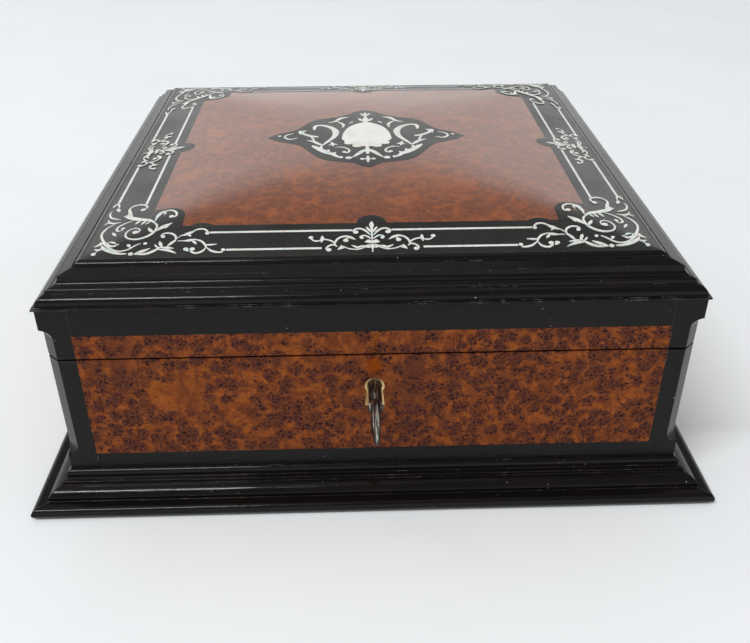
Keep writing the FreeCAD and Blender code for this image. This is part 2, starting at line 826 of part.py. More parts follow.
def main():
    os.makedirs("parts", exist_ok=True)

    # Base and plinth
    export("base_board", square_block(case_half, 0, base_thickness))
    four_sides("plinth", plinth_stick())

    # Case walls, posts and burl panels
    wall = front_wall(base_thickness, case_top)
    bed = front_bed(bottom_rail_top, case_top)
    bedded = wall.cut(bed)
    panel = bed
    escutcheon_back = -case_half + veneer_thickness
    passage = key_passage(-case_half, lock_front)
    export("case_front", bedded.cut(lock_mortise()).cut(passage))
    export("case_left", on_side(bedded, "left"))
    export("case_right", on_side(bedded, "right"))
    back = on_side(wall, "back")
    for place in hinge_places:
        back = back.cut(hinge_bed_at(place, False))
    export("case_back", back)
    export("case_corner_posts", corner_posts(base_thickness, case_top))
    export("burl_panel_front", panel.cut(escutcheon_prism(-case_half, escutcheon_back)))
    export("burl_panel_left", on_side(panel, "left"))
    export("burl_panel_right", on_side(panel, "right"))
    export("keyhole_escutcheon", escutcheon_prism(-case_half, escutcheon_back).cut(passage))

    # Lock and key
    export("lock_selvedge", lock_selvedge_blank(lock_roof, case_top).cut(staple_slot()))
    export("lock_case", lock_case())
    export("lock_back_plate", lock_back_plate())
    export("lock_key_pin", lock_key_pin())
    export("lock_spring", lock_spring())
    export("lock_bolt", lock_bolt())
    export("key", key())

    # Hinges
    export("hinge_case_leaves", group([hinge_leaf_at(x, False) for x in hinge_places]))
    export("hinge_lid_leaves", group([hinge_leaf_at(x, True) for x in hinge_places]))
    export("hinge_pins", group([hinge_pin_at(x) for x in hinge_places]))

    # Case lining
    export("floor_lining", square_block(inner_half, base_thickness, floor_top))
    export("case_wall_linings", lining_boards(floor_top, case_top - lining_reveal))

    # Lid walls, posts and burl strips
    wall = front_wall(lid_bottom, lid_wall_top)
    bed = front_bed(lid_bottom, strip_top)
    bedded = wall.cut(bed)
    strike_bed = lock_selvedge_blank(lid_bottom, lid_bottom + selvedge_thickness)
    export("lid_front", bedded.cut(strike_bed))
    export("lid_left", on_side(bedded, "left"))
    export("lid_right", on_side(bedded, "right"))
    back = on_side(wall, "back")
    for place in hinge_places:
        back = back.cut(hinge_bed_at(place, True))
    export("lid_back", back)
    export("lid_corner_posts", corner_posts(lid_bottom, lid_wall_top))
    export("burl_strip_front", bed)
    export("burl_strip_left", on_side(bed, "left"))
    export("burl_strip_right", on_side(bed, "right"))
    export("strike_plate", strike_plate())

    # Lid panel, mouldings and veneers
    four_sides("lid_moulding", moulding_stick())
    export("lid_panel", lid_panel())
    veneer = dome_solid(0).cut(dome_solid(veneer_thickness))
    burl = plan_prism(burl_face())
    cartouche = plan_prism(cartouche_face())
    medallion = plan_prism(medallion_face())
    scrolls = [solid for island in islands(cartouche_faces()) for solid in island.cut(medallion).Solids]
    lines = [plan_prism(face) for face in front_lines()]
    corner = islands([moved(face, -outer_line, -outer_line, 0) for face in corner_faces()])
    palmette = islands([moved(face, 0, -outer_line, 0) for face in palmette_faces()])
    left_side = [on_side(prism, "left") for prism in lines + palmette]
    border = plan_prism(plan_rectangle(-dome_half, 0, -dome_half, 0))
    border = border.cut([burl] + lines + palmette + left_side + corner)
    export("top_border_veneer", four_corners(laid_in(border.Solids, veneer)))
    export("top_burl_veneer", laid_in([burl.cut(cartouche)], veneer))
    export("cartouche_ground", laid_in(cartouche.cut([medallion] + scrolls).Solids, veneer))
    export("cartouche_medallion", laid_in([medallion], veneer))
    export("cartouche_scrolls", laid_in(scrolls, veneer))
    export("border_stringing", all_round(laid_in(lines, veneer)))
    export("corner_scrolls", four_corners(laid_in(corner, veneer)))
    export("side_palmettes", all_round(laid_in(palmette, veneer)))

    # Lid lining
    export("lid_lining_pad", square_block(inner_half, lid_wall_top - lid_pad_thickness, lid_wall_top))
    export("lid_wall_linings", lining_boards(lid_bottom + lining_reveal, lid_wall_top - lid_pad_thickness))


main()
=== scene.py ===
import bpy
import bmesh
import math
import random
from math import cos, pi, sin
from mathutils import Matrix, Vector, noise


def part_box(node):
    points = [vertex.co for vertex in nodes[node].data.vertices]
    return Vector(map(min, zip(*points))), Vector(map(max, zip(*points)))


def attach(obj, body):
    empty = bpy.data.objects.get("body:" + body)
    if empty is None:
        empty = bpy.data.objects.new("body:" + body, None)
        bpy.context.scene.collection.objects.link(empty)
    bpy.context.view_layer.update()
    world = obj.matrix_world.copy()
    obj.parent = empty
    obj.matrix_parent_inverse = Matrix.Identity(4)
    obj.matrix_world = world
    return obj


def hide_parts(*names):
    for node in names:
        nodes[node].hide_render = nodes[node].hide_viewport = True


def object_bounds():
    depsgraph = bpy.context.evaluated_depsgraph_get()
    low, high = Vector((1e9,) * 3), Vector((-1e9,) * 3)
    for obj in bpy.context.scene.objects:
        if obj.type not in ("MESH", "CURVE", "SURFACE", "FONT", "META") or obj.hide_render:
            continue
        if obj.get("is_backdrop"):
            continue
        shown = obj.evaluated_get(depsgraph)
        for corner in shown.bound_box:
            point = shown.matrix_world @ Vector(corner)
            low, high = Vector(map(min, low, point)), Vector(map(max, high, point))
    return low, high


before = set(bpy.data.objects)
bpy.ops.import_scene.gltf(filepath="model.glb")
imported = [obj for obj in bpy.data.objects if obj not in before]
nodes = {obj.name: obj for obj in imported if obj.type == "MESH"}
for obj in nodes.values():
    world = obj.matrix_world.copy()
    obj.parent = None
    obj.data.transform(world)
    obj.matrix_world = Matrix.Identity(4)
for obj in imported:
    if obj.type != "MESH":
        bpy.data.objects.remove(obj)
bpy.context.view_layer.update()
mm = 0.001
print("frame loaded:", len(nodes), "nodes")


# materials

class NodeBench:  # short calls for wiring the nodes of a material or the world
    def __init__(self, name, look=None, family="materials", coordinates="Object"):
        self.look = look  # colours by name
        self.owner = getattr(bpy.data, family).new(name)
        self.owner.use_nodes = True
        self.tree = self.owner.node_tree
        self.shader = self.tree.nodes.get("Principled BSDF")  # a world has none
        self.place = self.add("TexCoord").outputs[coordinates]

    def add(self, kind, inputs=None, **settings):  # inputs: a value or a link for each socket
        made = self.tree.nodes.new("ShaderNode" + kind)
        for key, value in settings.items():
            setattr(made, key, value)
        for socket, value in (inputs or {}).items():
            self.feed(made.inputs[socket], value)
        return made

    def feed(self, socket, value):
        if isinstance(value, bpy.types.NodeSocket):
            self.tree.links.new(value, socket)
        else:
            socket.default_value = value

    def stretch(self, scale):
        return self.add("Mapping", {"Vector": self.place, "Scale": scale}).outputs["Vector"]

    def clouds(self, scale, detail=4.0, rough=0.55, warp=0.0, at=None):
        made = self.add("TexNoise", {"Vector": at or self.place, "Scale": scale, "Detail": detail,
                                     "Roughness": rough, "Distortion": warp})
        return made.outputs["Fac"]

    def spots(self, cloud, *limits):  # clouds through a soft threshold
        return self.step(self.clouds(*cloud), *limits)

    def cells(self, scale, at=None, feature="F1"):
        made = self.add("TexVoronoi", {"Vector": at or self.place, "Scale": scale}, feature=feature)
        return made.outputs["Distance"]

    def along(self, axis):
        return self.add("SeparateXYZ", {0: self.place}).outputs[axis]

    def vectors(self, operation, a, b, output="Vector"):
        second = "Scale" if operation == "SCALE" else 1
        return self.add("VectorMath", {0: a, second: b}, operation=operation).outputs[output]

    def bent(self, amount, scale):  # place shifted about by clouds
        cloud = self.add("TexNoise", {"Vector": self.place, "Scale": scale, "Detail": 3.0})
        centred = self.vectors("SUBTRACT", cloud.outputs["Color"], (0.5, 0.5, 0.5))
        return self.vectors("ADD", self.place, self.vectors("SCALE", centred, amount))

    def step(self, value, low, high, fromValue=0.0, toValue=1.0):  # soft threshold
        made = self.add("MapRange", {"Value": value, "From Min": low, "From Max": high,
                                     "To Min": fromValue, "To Max": toValue},
                        interpolation_type="SMOOTHSTEP")
        return made.outputs["Result"]

    def calc(self, operation, a, b=0.0):
        return self.add("Math", {0: a, 1: b}, operation=operation).outputs[0]

    def times(self, product, *others):
        for other in others:
            product = self.calc("MULTIPLY", product, other)
        return product

    def blend(self, share, a, b):
        first, second = (self.look[c] + (1.0,) if isinstance(c, str) else c for c in (a, b))
        made = self.add("Mix", {"Factor": share, 6: first, 7: second}, data_type="RGBA")
        return made.outputs[2]

    def paint(self, share, colour):  # lays a colour over the tone so far
        self.tone = self.blend(share, self.tone, colour)

    def ramp(self, value, stops):
        made = self.add("ValToRGB", {"Fac": value})
        band = made.color_ramp.elements
        stops = [(position, (*self.look[colour], 1.0)) for position, colour in stops]
        band[0].position, band[0].color = stops[0]
        band[1].position, band[1].color = stops[-1]
        for position, colour in stops[1:-1]:
            band.new(position).color = colour
        return made.outputs["Color"]

    def rounded(self, radius, samples):
        return self.add("Bevel", {"Radius": radius}, samples=samples).outputs[0]

    def edges(self, radius):  # 1 on corners, 0 on flats; used for wear and for painted edge highlights
        flat = self.add("NewGeometry").outputs["Normal"]
        turn = self.vectors("DOT_PRODUCT", self.rounded(radius, 6), flat, "Value")
        return self.step(turn, 0.72, 0.985, 1.0, 0.0)

    def bump(self, height, strength, distance, soften=0.0):
        inputs = {"Height": height, "Strength": strength, "Distance": distance}
        if soften:
            inputs["Normal"] = self.rounded(soften, 4)
        self.feed(self.shader.inputs["Normal"], self.add("Bump", inputs).outputs["Normal"])

    def finish(self, roughness, **sockets):
        self.feed(self.shader.inputs["Base Color"], self.tone)
        self.feed(self.shader.inputs["Roughness"], roughness)
        for name, value in sockets.items():
            self.shader.inputs[name.replace("_", " ")].default_value = value
        return self.owner


burlLook = {
    "eye": (0.015, 0.005, 0.0058),     # nearly black dots in the rosettes
    "rosette": (0.053, 0.015, 0.015),  # purple brown patches round the dots
    "rim": (0.165, 0.04, 0.012),       # lighter wood curling between the rosettes
    "thread": (0.215, 0.062, 0.014),   # fine light lines between the dots
    "brown": (0.122, 0.031, 0.009),
    "orange": (0.206, 0.052, 0.012),
    "gold": (0.34, 0.09, 0.015),
    "lighterTone": (0.27, 0.072, 0.022),     # lighter even tone laid over the figure, used on the lid top
    "rubbed": (0.25, 0.052, 0.005),    # bare spot above the keyhole
    "rubbedAt": (0.0, -0.135, 0.068),
    "eyes": 590,         # per metre
    "rosettes": 182,
    "drift": 0.42,       # figure grows denser to the right
}


def burlVeneer(name, lightening=0.0, fineness=1.0, gloss=0.08):
    bench = NodeBench(name, burlLook)
    eyes, rosettes = burlLook["eyes"] * fineness, burlLook["rosettes"] * fineness
    figure = bench.clouds(60, 6, 0.66, 2.2, bench.bent(0.016, 55))
    bench.tone = bench.ramp(figure, [(0.32, "brown"), (0.44, "orange"), (0.57, "gold"), (0.7, "orange")])
    flame = bench.clouds(1.0, 5, 0.65, 1.6, bench.stretch((110, 110, 620)))
    bench.paint(bench.step(flame, 0.44, 0.7, 0.0, 0.55), "brown")
    bands = bench.clouds(1.0, 3, 0.55, 0.3, bench.stretch((52, 52, 9)))
    bench.paint(bench.step(bands, 0.58, 0.7, 0.0, 0.6), "rosette")
    ragged = bench.spots((430 * fineness, 4, 0.65, 1.0), 0.25, 0.75, -0.3, 0.3)
    apart = bench.calc("ADD", bench.cells(rosettes, bench.bent(0.006, 110 * fineness)), ragged)
    toRight = bench.times(bench.along("X"), burlLook["drift"])
    region = bench.step(bench.calc("ADD", bench.clouds(30, 4, 0.6, 0.5), toRight), 0.36, 0.45)
    near = bench.times(bench.step(apart, 0.6, 0.86, 1.0, 0.0), region)
    bench.paint(bench.times(near, 0.6), "rim")
    crowd = bench.times(bench.step(apart, 0.42, 0.64, 1.0, 0.0), region)
    bench.paint(bench.times(crowd, 0.86), "rosette")
    wander = bench.bent(0.0016, 500 * fineness)
    eye = bench.step(bench.cells(eyes, wander), 0.24, 0.5, 1.0, 0.0)
    eyed = bench.times(bench.step(apart, 0.5, 0.7, 1.0, 0.0), region)
    bench.paint(bench.times(eye, eyed, 0.95), "eye")
    stray = bench.step(bench.cells(eyes * 0.7, wander), 0.14, 0.32, 1.0, 0.0)
    some = bench.spots((80, 3, 0.6), 0.48, 0.58)
    bench.paint(bench.times(stray, some, 0.6), "rosette")
    between = bench.cells(eyes * 0.8, bench.bent(0.0022, 420 * fineness), "DISTANCE_TO_EDGE")
    thread = bench.times(bench.step(between, 0.02, 0.12, 1.0, 0.0), near)
    bench.paint(bench.times(thread, 0.5), "thread")
    bench.paint(bench.spots((2100, 2, 0.6), 0.55, 0.74, 0.0, 0.28), "eye")  # pores
    # lighter even tone over the whole figure
    if lightening:
        bench.paint(lightening, "lighterTone")
    away = bench.vectors("DISTANCE", bench.place, burlLook["rubbedAt"], "Value")
    bench.paint(bench.step(away, 0.0014, 0.0052, 0.9, 0.0), "rubbed")
    bench.bump(bench.clouds(90, 3, 0.5), 0.05, 0.0005, 0.0004)
    return bench.finish(bench.spots((28, 5, 0.6), 0.3, 0.75, 0.12, 0.22), Specular_IOR_Level=gloss)


ebonyLook = {
    "black": (0.0042, 0.004, 0.0042),
    "brown": (0.0085, 0.0062, 0.0052),
    "worn": (0.06, 0.042, 0.03),
    # pale grey of dust specks, also painted as highlight on the edges
    "dustAndEdgeHighlight": (0.36, 0.35, 0.33),
}


def ebonisedWood(name, grain, wornRadius=0.0011, wear=1.0, gloss=0.19, haze=(0.07, 0.2)):
    bench = NodeBench(name, ebonyLook)
    streaks = bench.clouds(1.0, 5, 0.6, 0.4, bench.stretch(grain))
    bench.tone = bench.ramp(streaks, [(0.35, "black"), (0.72, "brown")])
    rub = bench.spots((75, 5, 0.65), 0.42, 0.7)
    bench.paint(bench.times(bench.edges(wornRadius), bench.times(rub, 0.65 * wear)), "worn")
    speck = bench.step(bench.cells(330, bench.bent(0.004, 300)), 0.04, 0.08, 1.0, 0.0)
    some = bench.spots((60, 4, 0.65), 0.5, 0.58)
    bench.paint(bench.times(speck, some, 0.9 * wear), "dustAndEdgeHighlight")
    # pale marks on the sharpest edges: partly real chips, partly painted highlight where the edges catch
    # light
    chipsAndHighlight = bench.spots((130, 5, 0.7), 0.55, 0.66)
    bench.paint(bench.times(bench.edges(0.0006), chipsAndHighlight, 0.6 * wear), "dustAndEdgeHighlight")
    bench.bump(streaks, 0.14, 0.0004, 0.00055)
    return bench.finish(bench.spots((36, 5, 0.62), 0.28, 0.75, *haze), Specular_IOR_Level=gloss)


boneLook = {
    "white": (0.77, 0.76, 0.72),
    "cream": (0.66, 0.63, 0.55),
    # shell: teal of a painted mother-of-pearl sheen
    "shell": (0.46, 0.64, 0.63),
    "cut": (0.22, 0.22, 0.2),  # fine engraved lines
}


def boneInlay(name, shell):
    bench = NodeBench(name, boneLook)
    bench.tone = bench.blend(bench.spots((85, 4, 0.6), 0.44, 0.7), "white", "cream")
    # painted sheen: teal patches stand in for the shifting sheen of mother of pearl
    glint = bench.spots((210, 2, 0.5, 1.2), 0.52, 0.64)
    bench.paint(bench.times(glint, shell), "shell")
    wave = bench.calc("ABSOLUTE", bench.calc("SUBTRACT", bench.clouds(330, 2, 0.5, 0.6), 0.5))
    bench.paint(bench.step(wave, 0.0, 0.035, 0.5 * shell, 0.0), "cut")
    bench.bump(bench.clouds(500, 3, 0.6), 0.08, 0.0003)
    return bench.finish(bench.spots((120, 3, 0.5), 0.3, 0.7, 0.24, 0.38))


brassLook = {"bright": (0.78, 0.54, 0.27), "dull": (0.32, 0.2, 0.085)}


def handledBrass(name):
    bench = NodeBench(name, brassLook)
    bench.tone = bench.blend(bench.spots((160, 5, 0.65), 0.38, 0.66), "bright", "dull")
    bench.bump(bench.clouds(700, 3, 0.6), 0.12, 0.0002, 0.00015)
    return bench.finish(bench.spots((240, 4, 0.6), 0.3, 0.7, 0.24, 0.46), Metallic=1.0)


# bright: bare metal, also painted as glints on the edges and along the rim
ironLook = {"dark": (0.05, 0.045, 0.04), "bright": (0.62, 0.59, 0.54), "rust": (0.11, 0.055, 0.03)}


def wornGlintingIron(name, brightness):
    bench = NodeBench(name, ironLook)
    bench.tone = bench.blend(bench.spots((260, 5, 0.6), 0.46, 0.7), "dark", "rust")
    # painted glints: edges lit up in bright metal, partly real wear
    bench.paint(bench.times(bench.edges(0.0007), 0.8), "bright")
    # painted glints: long bright streaks, as along the rim of the key bow, partly real rubbing
    rubbed = bench.clouds(1.0, 4, 0.65, 0.3, bench.stretch((1500, 110, 110)))
    bench.paint(bench.step(rubbed, 0.52, 0.64, 0.0, 0.85), "bright")
    bench.paint(brightness, "bright")
    bench.bump(bench.clouds(900, 4, 0.6), 0.25, 0.0002, 0.0002)
    return bench.finish(bench.spots((320, 4, 0.6), 0.3, 0.7, 0.28, 0.52), Metallic=1.0)


satinLook = {
    "red": (0.205, 0.016, 0.024), "light": (0.33, 0.045, 0.055), "shade": (0.12, 0.012, 0.015),
    "threads": 2600,    # per metre
    "sheen": 0.35,
}


def satinCloth(name):
    bench = NodeBench(name, satinLook)
    weft = bench.clouds(1.0, 2, 0.5, 0.0, bench.stretch((satinLook["threads"], 160, 160)))
    bench.tone = bench.blend(bench.step(weft, 0.35, 0.68), "red", "light")
    bench.paint(bench.spots((30, 4, 0.6), 0.5, 0.8, 0.0, 0.35), "shade")
    bench.bump(weft, 0.1, 0.0002)
    return bench.finish(bench.spots((55, 3, 0.5), 0.3, 0.7, 0.34, 0.48),
                        Sheen_Weight=satinLook["sheen"], Sheen_Roughness=0.35)


carcassLook = {"dark": (0.16, 0.085, 0.042), "light": (0.3, 0.18, 0.095)}


def carcassWood(name):
    bench = NodeBench(name, carcassLook)
    rings = bench.clouds(1.0, 5, 0.6, 0.8, bench.stretch((14, 190, 190)))
    bench.tone = bench.ramp(rings, [(0.3, "dark"), (0.7, "light")])
    bench.bump(rings, 0.2, 0.0004)
    return bench.finish(bench.spots((40, 3, 0.5), 0.3, 0.7, 0.55, 0.72))


acrossGrain, depthGrain, uprightGrain = (26, 420, 420), (420, 26, 420), (420, 420, 26)
burl = burlVeneer("burlVeneer")
burlTop = burlVeneer("burlVeneerTop", 0.42, 1.15, 1.0)
blackAcross = ebonisedWood("ebonisedAcross", acrossGrain)
blackDepth = ebonisedWood("ebonisedDepth", depthGrain, gloss=0.24)
blackUpright = ebonisedWood("ebonisedUpright", uprightGrain)
blackVeneer = ebonisedWood("ebonisedVeneer", acrossGrain, 0.0003, 0.5, 0.55, (0.24, 0.36))
bone = boneInlay("boneInlay", 0.55)
boneMedallion = boneInlay("boneMedallion", 0.0)
brass = handledBrass("handledBrass")
iron = wornGlintingIron("wornGlintingIron", 0.06)
steel = wornGlintingIron("filedSteel", 0.55)
satin = satinCloth("satinCloth")
carcass = carcassWood("carcassWood")
print("materials ready")


# carried-over nodes and their finishes

frames = ("plinth", "case", "lid", "lid_moulding")
nodeFinish = [
    (blackAcross, [f"{part}_{side}" for part in frames for side in ("front", "back")]),
    (blackDepth, [f"{part}_{side}" for part in frames for side in ("left", "right")]),
    (blackUpright, ["case_corner_posts", "lid_corner_posts"]),
    (burl, [f"burl_{part}_{side}" for part in ("panel", "strip") for side in ("front", "left", "right")]),
    (carcass, ["base_board", "lid_panel"]),
    (brass, ["keyhole_escutcheon", "lock_back_plate", "lock_selvedge", "strike_plate",
             "hinge_case_leaves", "hinge_lid_leaves", "lock_bolt"]),
    (steel, ["lock_case", "lock_key_pin", "lock_spring", "hinge_pins"]),
]


def dress(piece, finish):
    piece.data.materials.clear()
    piece.data.materials.append(finish)


for finish, names in nodeFinish:
    for nodeName in names:
        dress(nodes[nodeName], finish)
print("carried-over nodes dressed")


# the low dome of the lid, as its own height over the plan

borderLow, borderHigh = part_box("top_border_veneer")
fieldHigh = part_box("top_burl_veneer")[1]
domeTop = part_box("cartouche_medallion")[1].z

dome = {
    "half": borderHigh.x,
    "field": fieldHigh.x,
    "edge": borderLow.z + 0.8 * mm,   # upper side of the border veneer
    "top": domeTop - 0.16 * mm,       # leaves room for the inlay standing proud
    "hip": 40 * mm,                   # how far the hips are rounded in the middle
}
dome["rise"] = dome["top"] - dome["edge"]
dome["radius"] = (dome["half"] ** 2 + dome["rise"] ** 2) / (2 * dome["rise"])
dome["axis"] = dome["top"] - dome["radius"]
dome["fieldEdge"] = dome["axis"] + math.sqrt(dome["radius"] ** 2 - dome["field"] ** 2)


def domeHeight(x, y):
    a, b = abs(x), abs(y)
    far = max(a, b)
    hip = max(dome["hip"] * (1 - far / dome["half"]), 1e-6)
    out = far + max(hip - abs(a - b), 0) ** 2 / (4 * hip)
    if out > dome["field"]:
        share = (dome["half"] - out) / (dome["half"] - dome["field"])
        return dome["edge"] + (dome["fieldEdge"] - dome["edge"]) * share
    return dome["axis"] + math.sqrt(dome["radius"] ** 2 - out ** 2)


def addPiece(name, mesh, finish, body, smooth=40):
    piece = bpy.data.objects.new(name, mesh)
    bpy.context.scene.collection.objects.link(piece)
    dress(piece, finish)
    mesh.shade_smooth()
    mesh.set_sharp_from_angle(angle=math.radians(smooth))
    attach(piece, body)
    return piece


def pileUp(name, parts, scale=mm):  # closed shells joined into one mesh, normals outwards
    mesh = bpy.data.meshes.new(name)
    points, faces = [], []
    for partPoints, partFaces in parts:
        start = len(points)
        points += [Vector(p) * scale for p in partPoints]
        faces += [[start + i for i in face] for face in partFaces]
    mesh.from_pydata(points, [], faces)
    bm = bmesh.new()
    bm.from_mesh(mesh)
    bmesh.ops.recalc_face_normals(bm, faces=bm.faces)
    bm.to_mesh(mesh)
    bm.free()
    return mesh


def smoothWay(way, spacing=0.55):  # a curve through the points, width included
    line = []
    for i in range(len(way) - 1):
        a, b, c, d = (Vector(way[max(0, min(len(way) - 1, k))]) for k in (i - 1, i, i + 1, i + 2))
        steps = max(3, math.ceil((Vector(c[:2]) - Vector(b[:2])).length / spacing))
        for k in range(steps):
            t = k / steps
            line.append(0.5 * (2 * b + (c - a) * t + (2 * a - 5 * b + 4 * c - d) * t * t
                               + (3 * b - a - 3 * c + d) * t ** 3))
    line.append(Vector(way[-1]))
    return [tuple(p) for p in line]


def arcPoints(x, y, radius, start, end, steps=16):
    turns = [math.radians(start + (end - start) * i / steps) for i in range(steps + 1)]
    return [(x + radius * cos(t), y + radius * sin(t)) for t in turns]


def around(loop):  # pairs of neighbours on a closed loop
    return list(zip(loop, loop[1:] + loop[:1]))


def mirrored(shape, turnX, turnY):
    return [(x * turnX, y * turnY, *rest) for x, y, *rest in shape]


def quarterTurned(shape, turns):
    for _ in range(turns):
        shape = [(-y, x, *rest) for x, y, *rest in shape]
    return shape


inlayCut = {     # mm
    "depth": 0.3, "borderDepth": 0.7, "medallionDepth": 0.4,
    "burlLift": 0.012, "groundLift": 0.030, "lineLift": 0.05, "scrollLift": 0.06, "medallionLift": 0.14,
    "layer": 0.002,       # overlapping strokes never share a plane
    "leastWidth": 0.16,
    "cell": 4.0,          # larger shapes are cut this small to follow the dome
}


class InlaySheet:  # gathers flat shapes, in mm, and lays them on the dome as thin slabs
    def __init__(self, lift, depth=inlayCut["depth"], fine=1.0):
        self.lift, self.depth = lift * mm, depth * mm
        self.fine = fine     # all strokes of the sheet cut finer by this
        self.points, self.faces = [], []

    def slab(self, plan, cap, rim):  # cap: faces over the plan's points, rim: its outer edges
        start, count = len(self.points), len(plan)
        top = [Vector((x * mm, y * mm, domeHeight(x * mm, y * mm) + self.lift)) for x, y in plan]
        self.points += top + [p - Vector((0, 0, self.depth)) for p in top]
        for face in cap:
            self.faces.append([start + i for i in face])
            self.faces.append([start + count + i for i in reversed(face)])
        for here, there in rim:
            self.faces.append([start + here, start + count + here, start + count + there, start + there])
        self.lift += inlayCut["layer"] * mm

    def stroke(self, way):  # way: (x, y, width) along the middle
        line = smoothWay(way)
        count, left, right = len(line), [], []
        for i, (x, y, width) in enumerate(line):
            before, after = line[max(i - 1, 0)], line[min(i + 1, count - 1)]
            along = Vector((after[0] - before[0], after[1] - before[1]))
            across = max(width * self.fine, inlayCut["leastWidth"])
            side = Vector((-along.y, along.x)).normalized() * across / 2
            left.append((x + side.x, y + side.y))
            right.append((x - side.x, y - side.y))
        cap = [[i, count + i, count + i + 1, i + 1] for i in range(count - 1)]
        self.slab(left + right, cap, around(list(range(count - 1, -1, -1)) + list(range(count, 2 * count))))

    def disc(self, x, y, radius, sides=14):
        whole = list(range(sides))
        self.slab(arcPoints(x, y, radius, 0, 360, sides)[:sides], [whole], around(whole))

    def patch(self, outline):  # a larger shape in small cells
        bm, cell = bmesh.new(), inlayCut["cell"]
        corners = [bm.verts.new((x, y, 0)) for x, y in outline]
        bmesh.ops.triangulate(bm, faces=[bm.faces.new(corners)])
        for axis in (0, 1):
            low, high = (pick(p[axis] for p in outline) for pick in (min, max))
            for i in range(math.ceil(low / cell), math.floor(high / cell) + 1):
                place, normal = Vector(), Vector()
                place[axis], normal[axis] = i * cell, 1
                everything = bm.verts[:] + bm.edges[:] + bm.faces[:]
                bmesh.ops.bisect_plane(bm, geom=everything, dist=1e-5, plane_co=place, plane_no=normal)
        bm.verts.index_update()
        cap, rim = [], []
        for face in bm.faces:
            order = [v.index for v in face.verts]
            cap.append(order if face.normal.z > 0 else order[::-1])
        for edge in bm.edges:
            if len(edge.link_faces) == 1:
                loop = edge.link_loops[0]
                pair = (loop.vert.index, loop.link_loop_next.vert.index)
                rim.append(pair if loop.face.normal.z > 0 else pair[::-1])
        self.slab([(v.co.x, v.co.y) for v in bm.verts], cap, rim)
        bm.free()

    def figure(self, ways, bulbs, placed):  # strokes, then bulbs, each put in its place
        for way in ways.values():
            self.stroke(placed(way))
        for bulb in placed(bulbs):
            self.disc(*bulb)

    def piece(self, name, finish, slot):
        return addPiece(name, pileUp(name, [(self.points, self.faces)], 1.0), finish, "lid")


# black border and burl field

half, field = dome["half"] / mm, dome["field"] / mm

fieldCuts = {
    "bump": 6.4,            # half round in the middle of each side
    "lobe": (88.8, 86.9, 8.2),
    "notch": 80.6,          # plan of the black corner, inside the burl
    "shelf": 78.7,
    "smallLobe": (72.0, 100.0, 6.8),
    "overlap": 0.3, "bumpOverlap": 0.2,   # black laid over the edge of the field
}


def square(size):
    return [(-size, -size), (size, -size), (size, size), (-size, size)]


def cornerOutline():
    lobeX, lobeY, lobe = fieldCuts["lobe"]
    rim = field + fieldCuts["overlap"]
    return ([(-rim, -rim), (-fieldCuts["notch"], -rim), (-fieldCuts["notch"], -lobeY)]
            + arcPoints(-lobeX, -lobeY, lobe, 0, 90)[1:] + [(-rim, -fieldCuts["shelf"])])


def smallLobeOutline():
    x, y, radius = fieldCuts["smallLobe"]
    angle = math.degrees(math.acos((y - field - fieldCuts["overlap"]) / radius))
    return arcPoints(-x, -y, radius, 90 - angle, 90 + angle)


border = InlaySheet(0.0, inlayCut["borderDepth"])
border.patch(square(half))
border.lift, border.depth = inlayCut["groundLift"] * mm, inlayCut["depth"] * mm
for turnX in (-1, 1):
    for turnY in (-1, 1):
        for shape in (cornerOutline(), smallLobeOutline()):
            shape = mirrored(shape, turnX, turnY)
            border.patch(shape if turnX * turnY > 0 else shape[::-1])
bump = arcPoints(0, -field - fieldCuts["bumpOverlap"], fieldCuts["bump"], 0, 180)
for turns in range(4):
    border.patch(quarterTurned(bump, turns))
borderPiece = border.piece("lidBorder", blackVeneer, "ebonised_wood")
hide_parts("top_border_veneer")

burlField = InlaySheet(inlayCut["burlLift"])
burlField.patch(square(field))
burlPiece = burlField.piece("lidBurlField", burlTop, "burl_veneer")
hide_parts("top_burl_veneer")

cartouche = {     # right half, from the side tip to the top and to the foot
    "upper": [(51.2, 0), (45, 5.2), (39.4, 7.4), (35.4, 11.2), (32.6, 16.2), (29.8, 21.4), (26, 25.2),
              (21, 26.9), (16, 28.6), (12.2, 30.8), (8.8, 34.4), (5.2, 38.8), (2.2, 41.1), (0, 41.5)],
    "lower": [(51.2, 0), (46, -6), (40, -10.4), (35.4, -13.4), (31.8, -18), (28.6, -24.2), (24.8, -30.8),
              (20.2, -35.2), (14.8, -37.2), (9.4, -38.3), (6, -39.6), (3.3, -42.4), (0, -44.2)],
}


def smoothRim(corners):
    return [(x, y) for x, y, _ in smoothWay([(x, y, 1) for x, y in corners], spacing=1.2)]


rightRim = smoothRim(cartouche["lower"])[::-1] + smoothRim(cartouche["upper"])[1:]
rimWhole = rightRim + [(-x, y) for x, y in reversed(rightRim[1:-1])]
ground = InlaySheet(inlayCut["groundLift"])
ground.patch(rimWhole)
groundPiece = ground.piece("cartoucheGround", blackVeneer, "ebonised_wood")
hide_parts("cartouche_ground")
print("border, burl field and cartouche ground laid")


# white stringing

stringing = {
    "width": 1.25,
    "front": {"outer": 113.2, "inner": 100.6, "outerRun": (21.0, 60.2), "innerRun": (8.4, 68.2)},
    "side": {"outer": 114.7, "inner": 100.6, "outerRun": (19.6, 64.6), "innerRun": (9.0, 70.2)},
}

lines = InlaySheet(inlayCut["lineLift"])
for face, turns in (("front", 0), ("side", 1), ("front", 2), ("side", 3)):
    run = stringing[face]
    for out, (near, far) in ((run["outer"], run["outerRun"]), (run["inner"], run["innerRun"])):
        for sign in (-1, 1):
            ends = sorted((sign * near, sign * far))
            middle = [(x, -out, stringing["width"]) for x in (ends[0], sum(ends) / 2, ends[1])]
            lines.stroke(quarterTurned(middle, turns))
linesPiece = lines.piece("borderStringing", bone, "bone_inlay")
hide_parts("border_stringing")


# corner scrolls: (along the front, along the side, width) from the corner of the panel, in mm

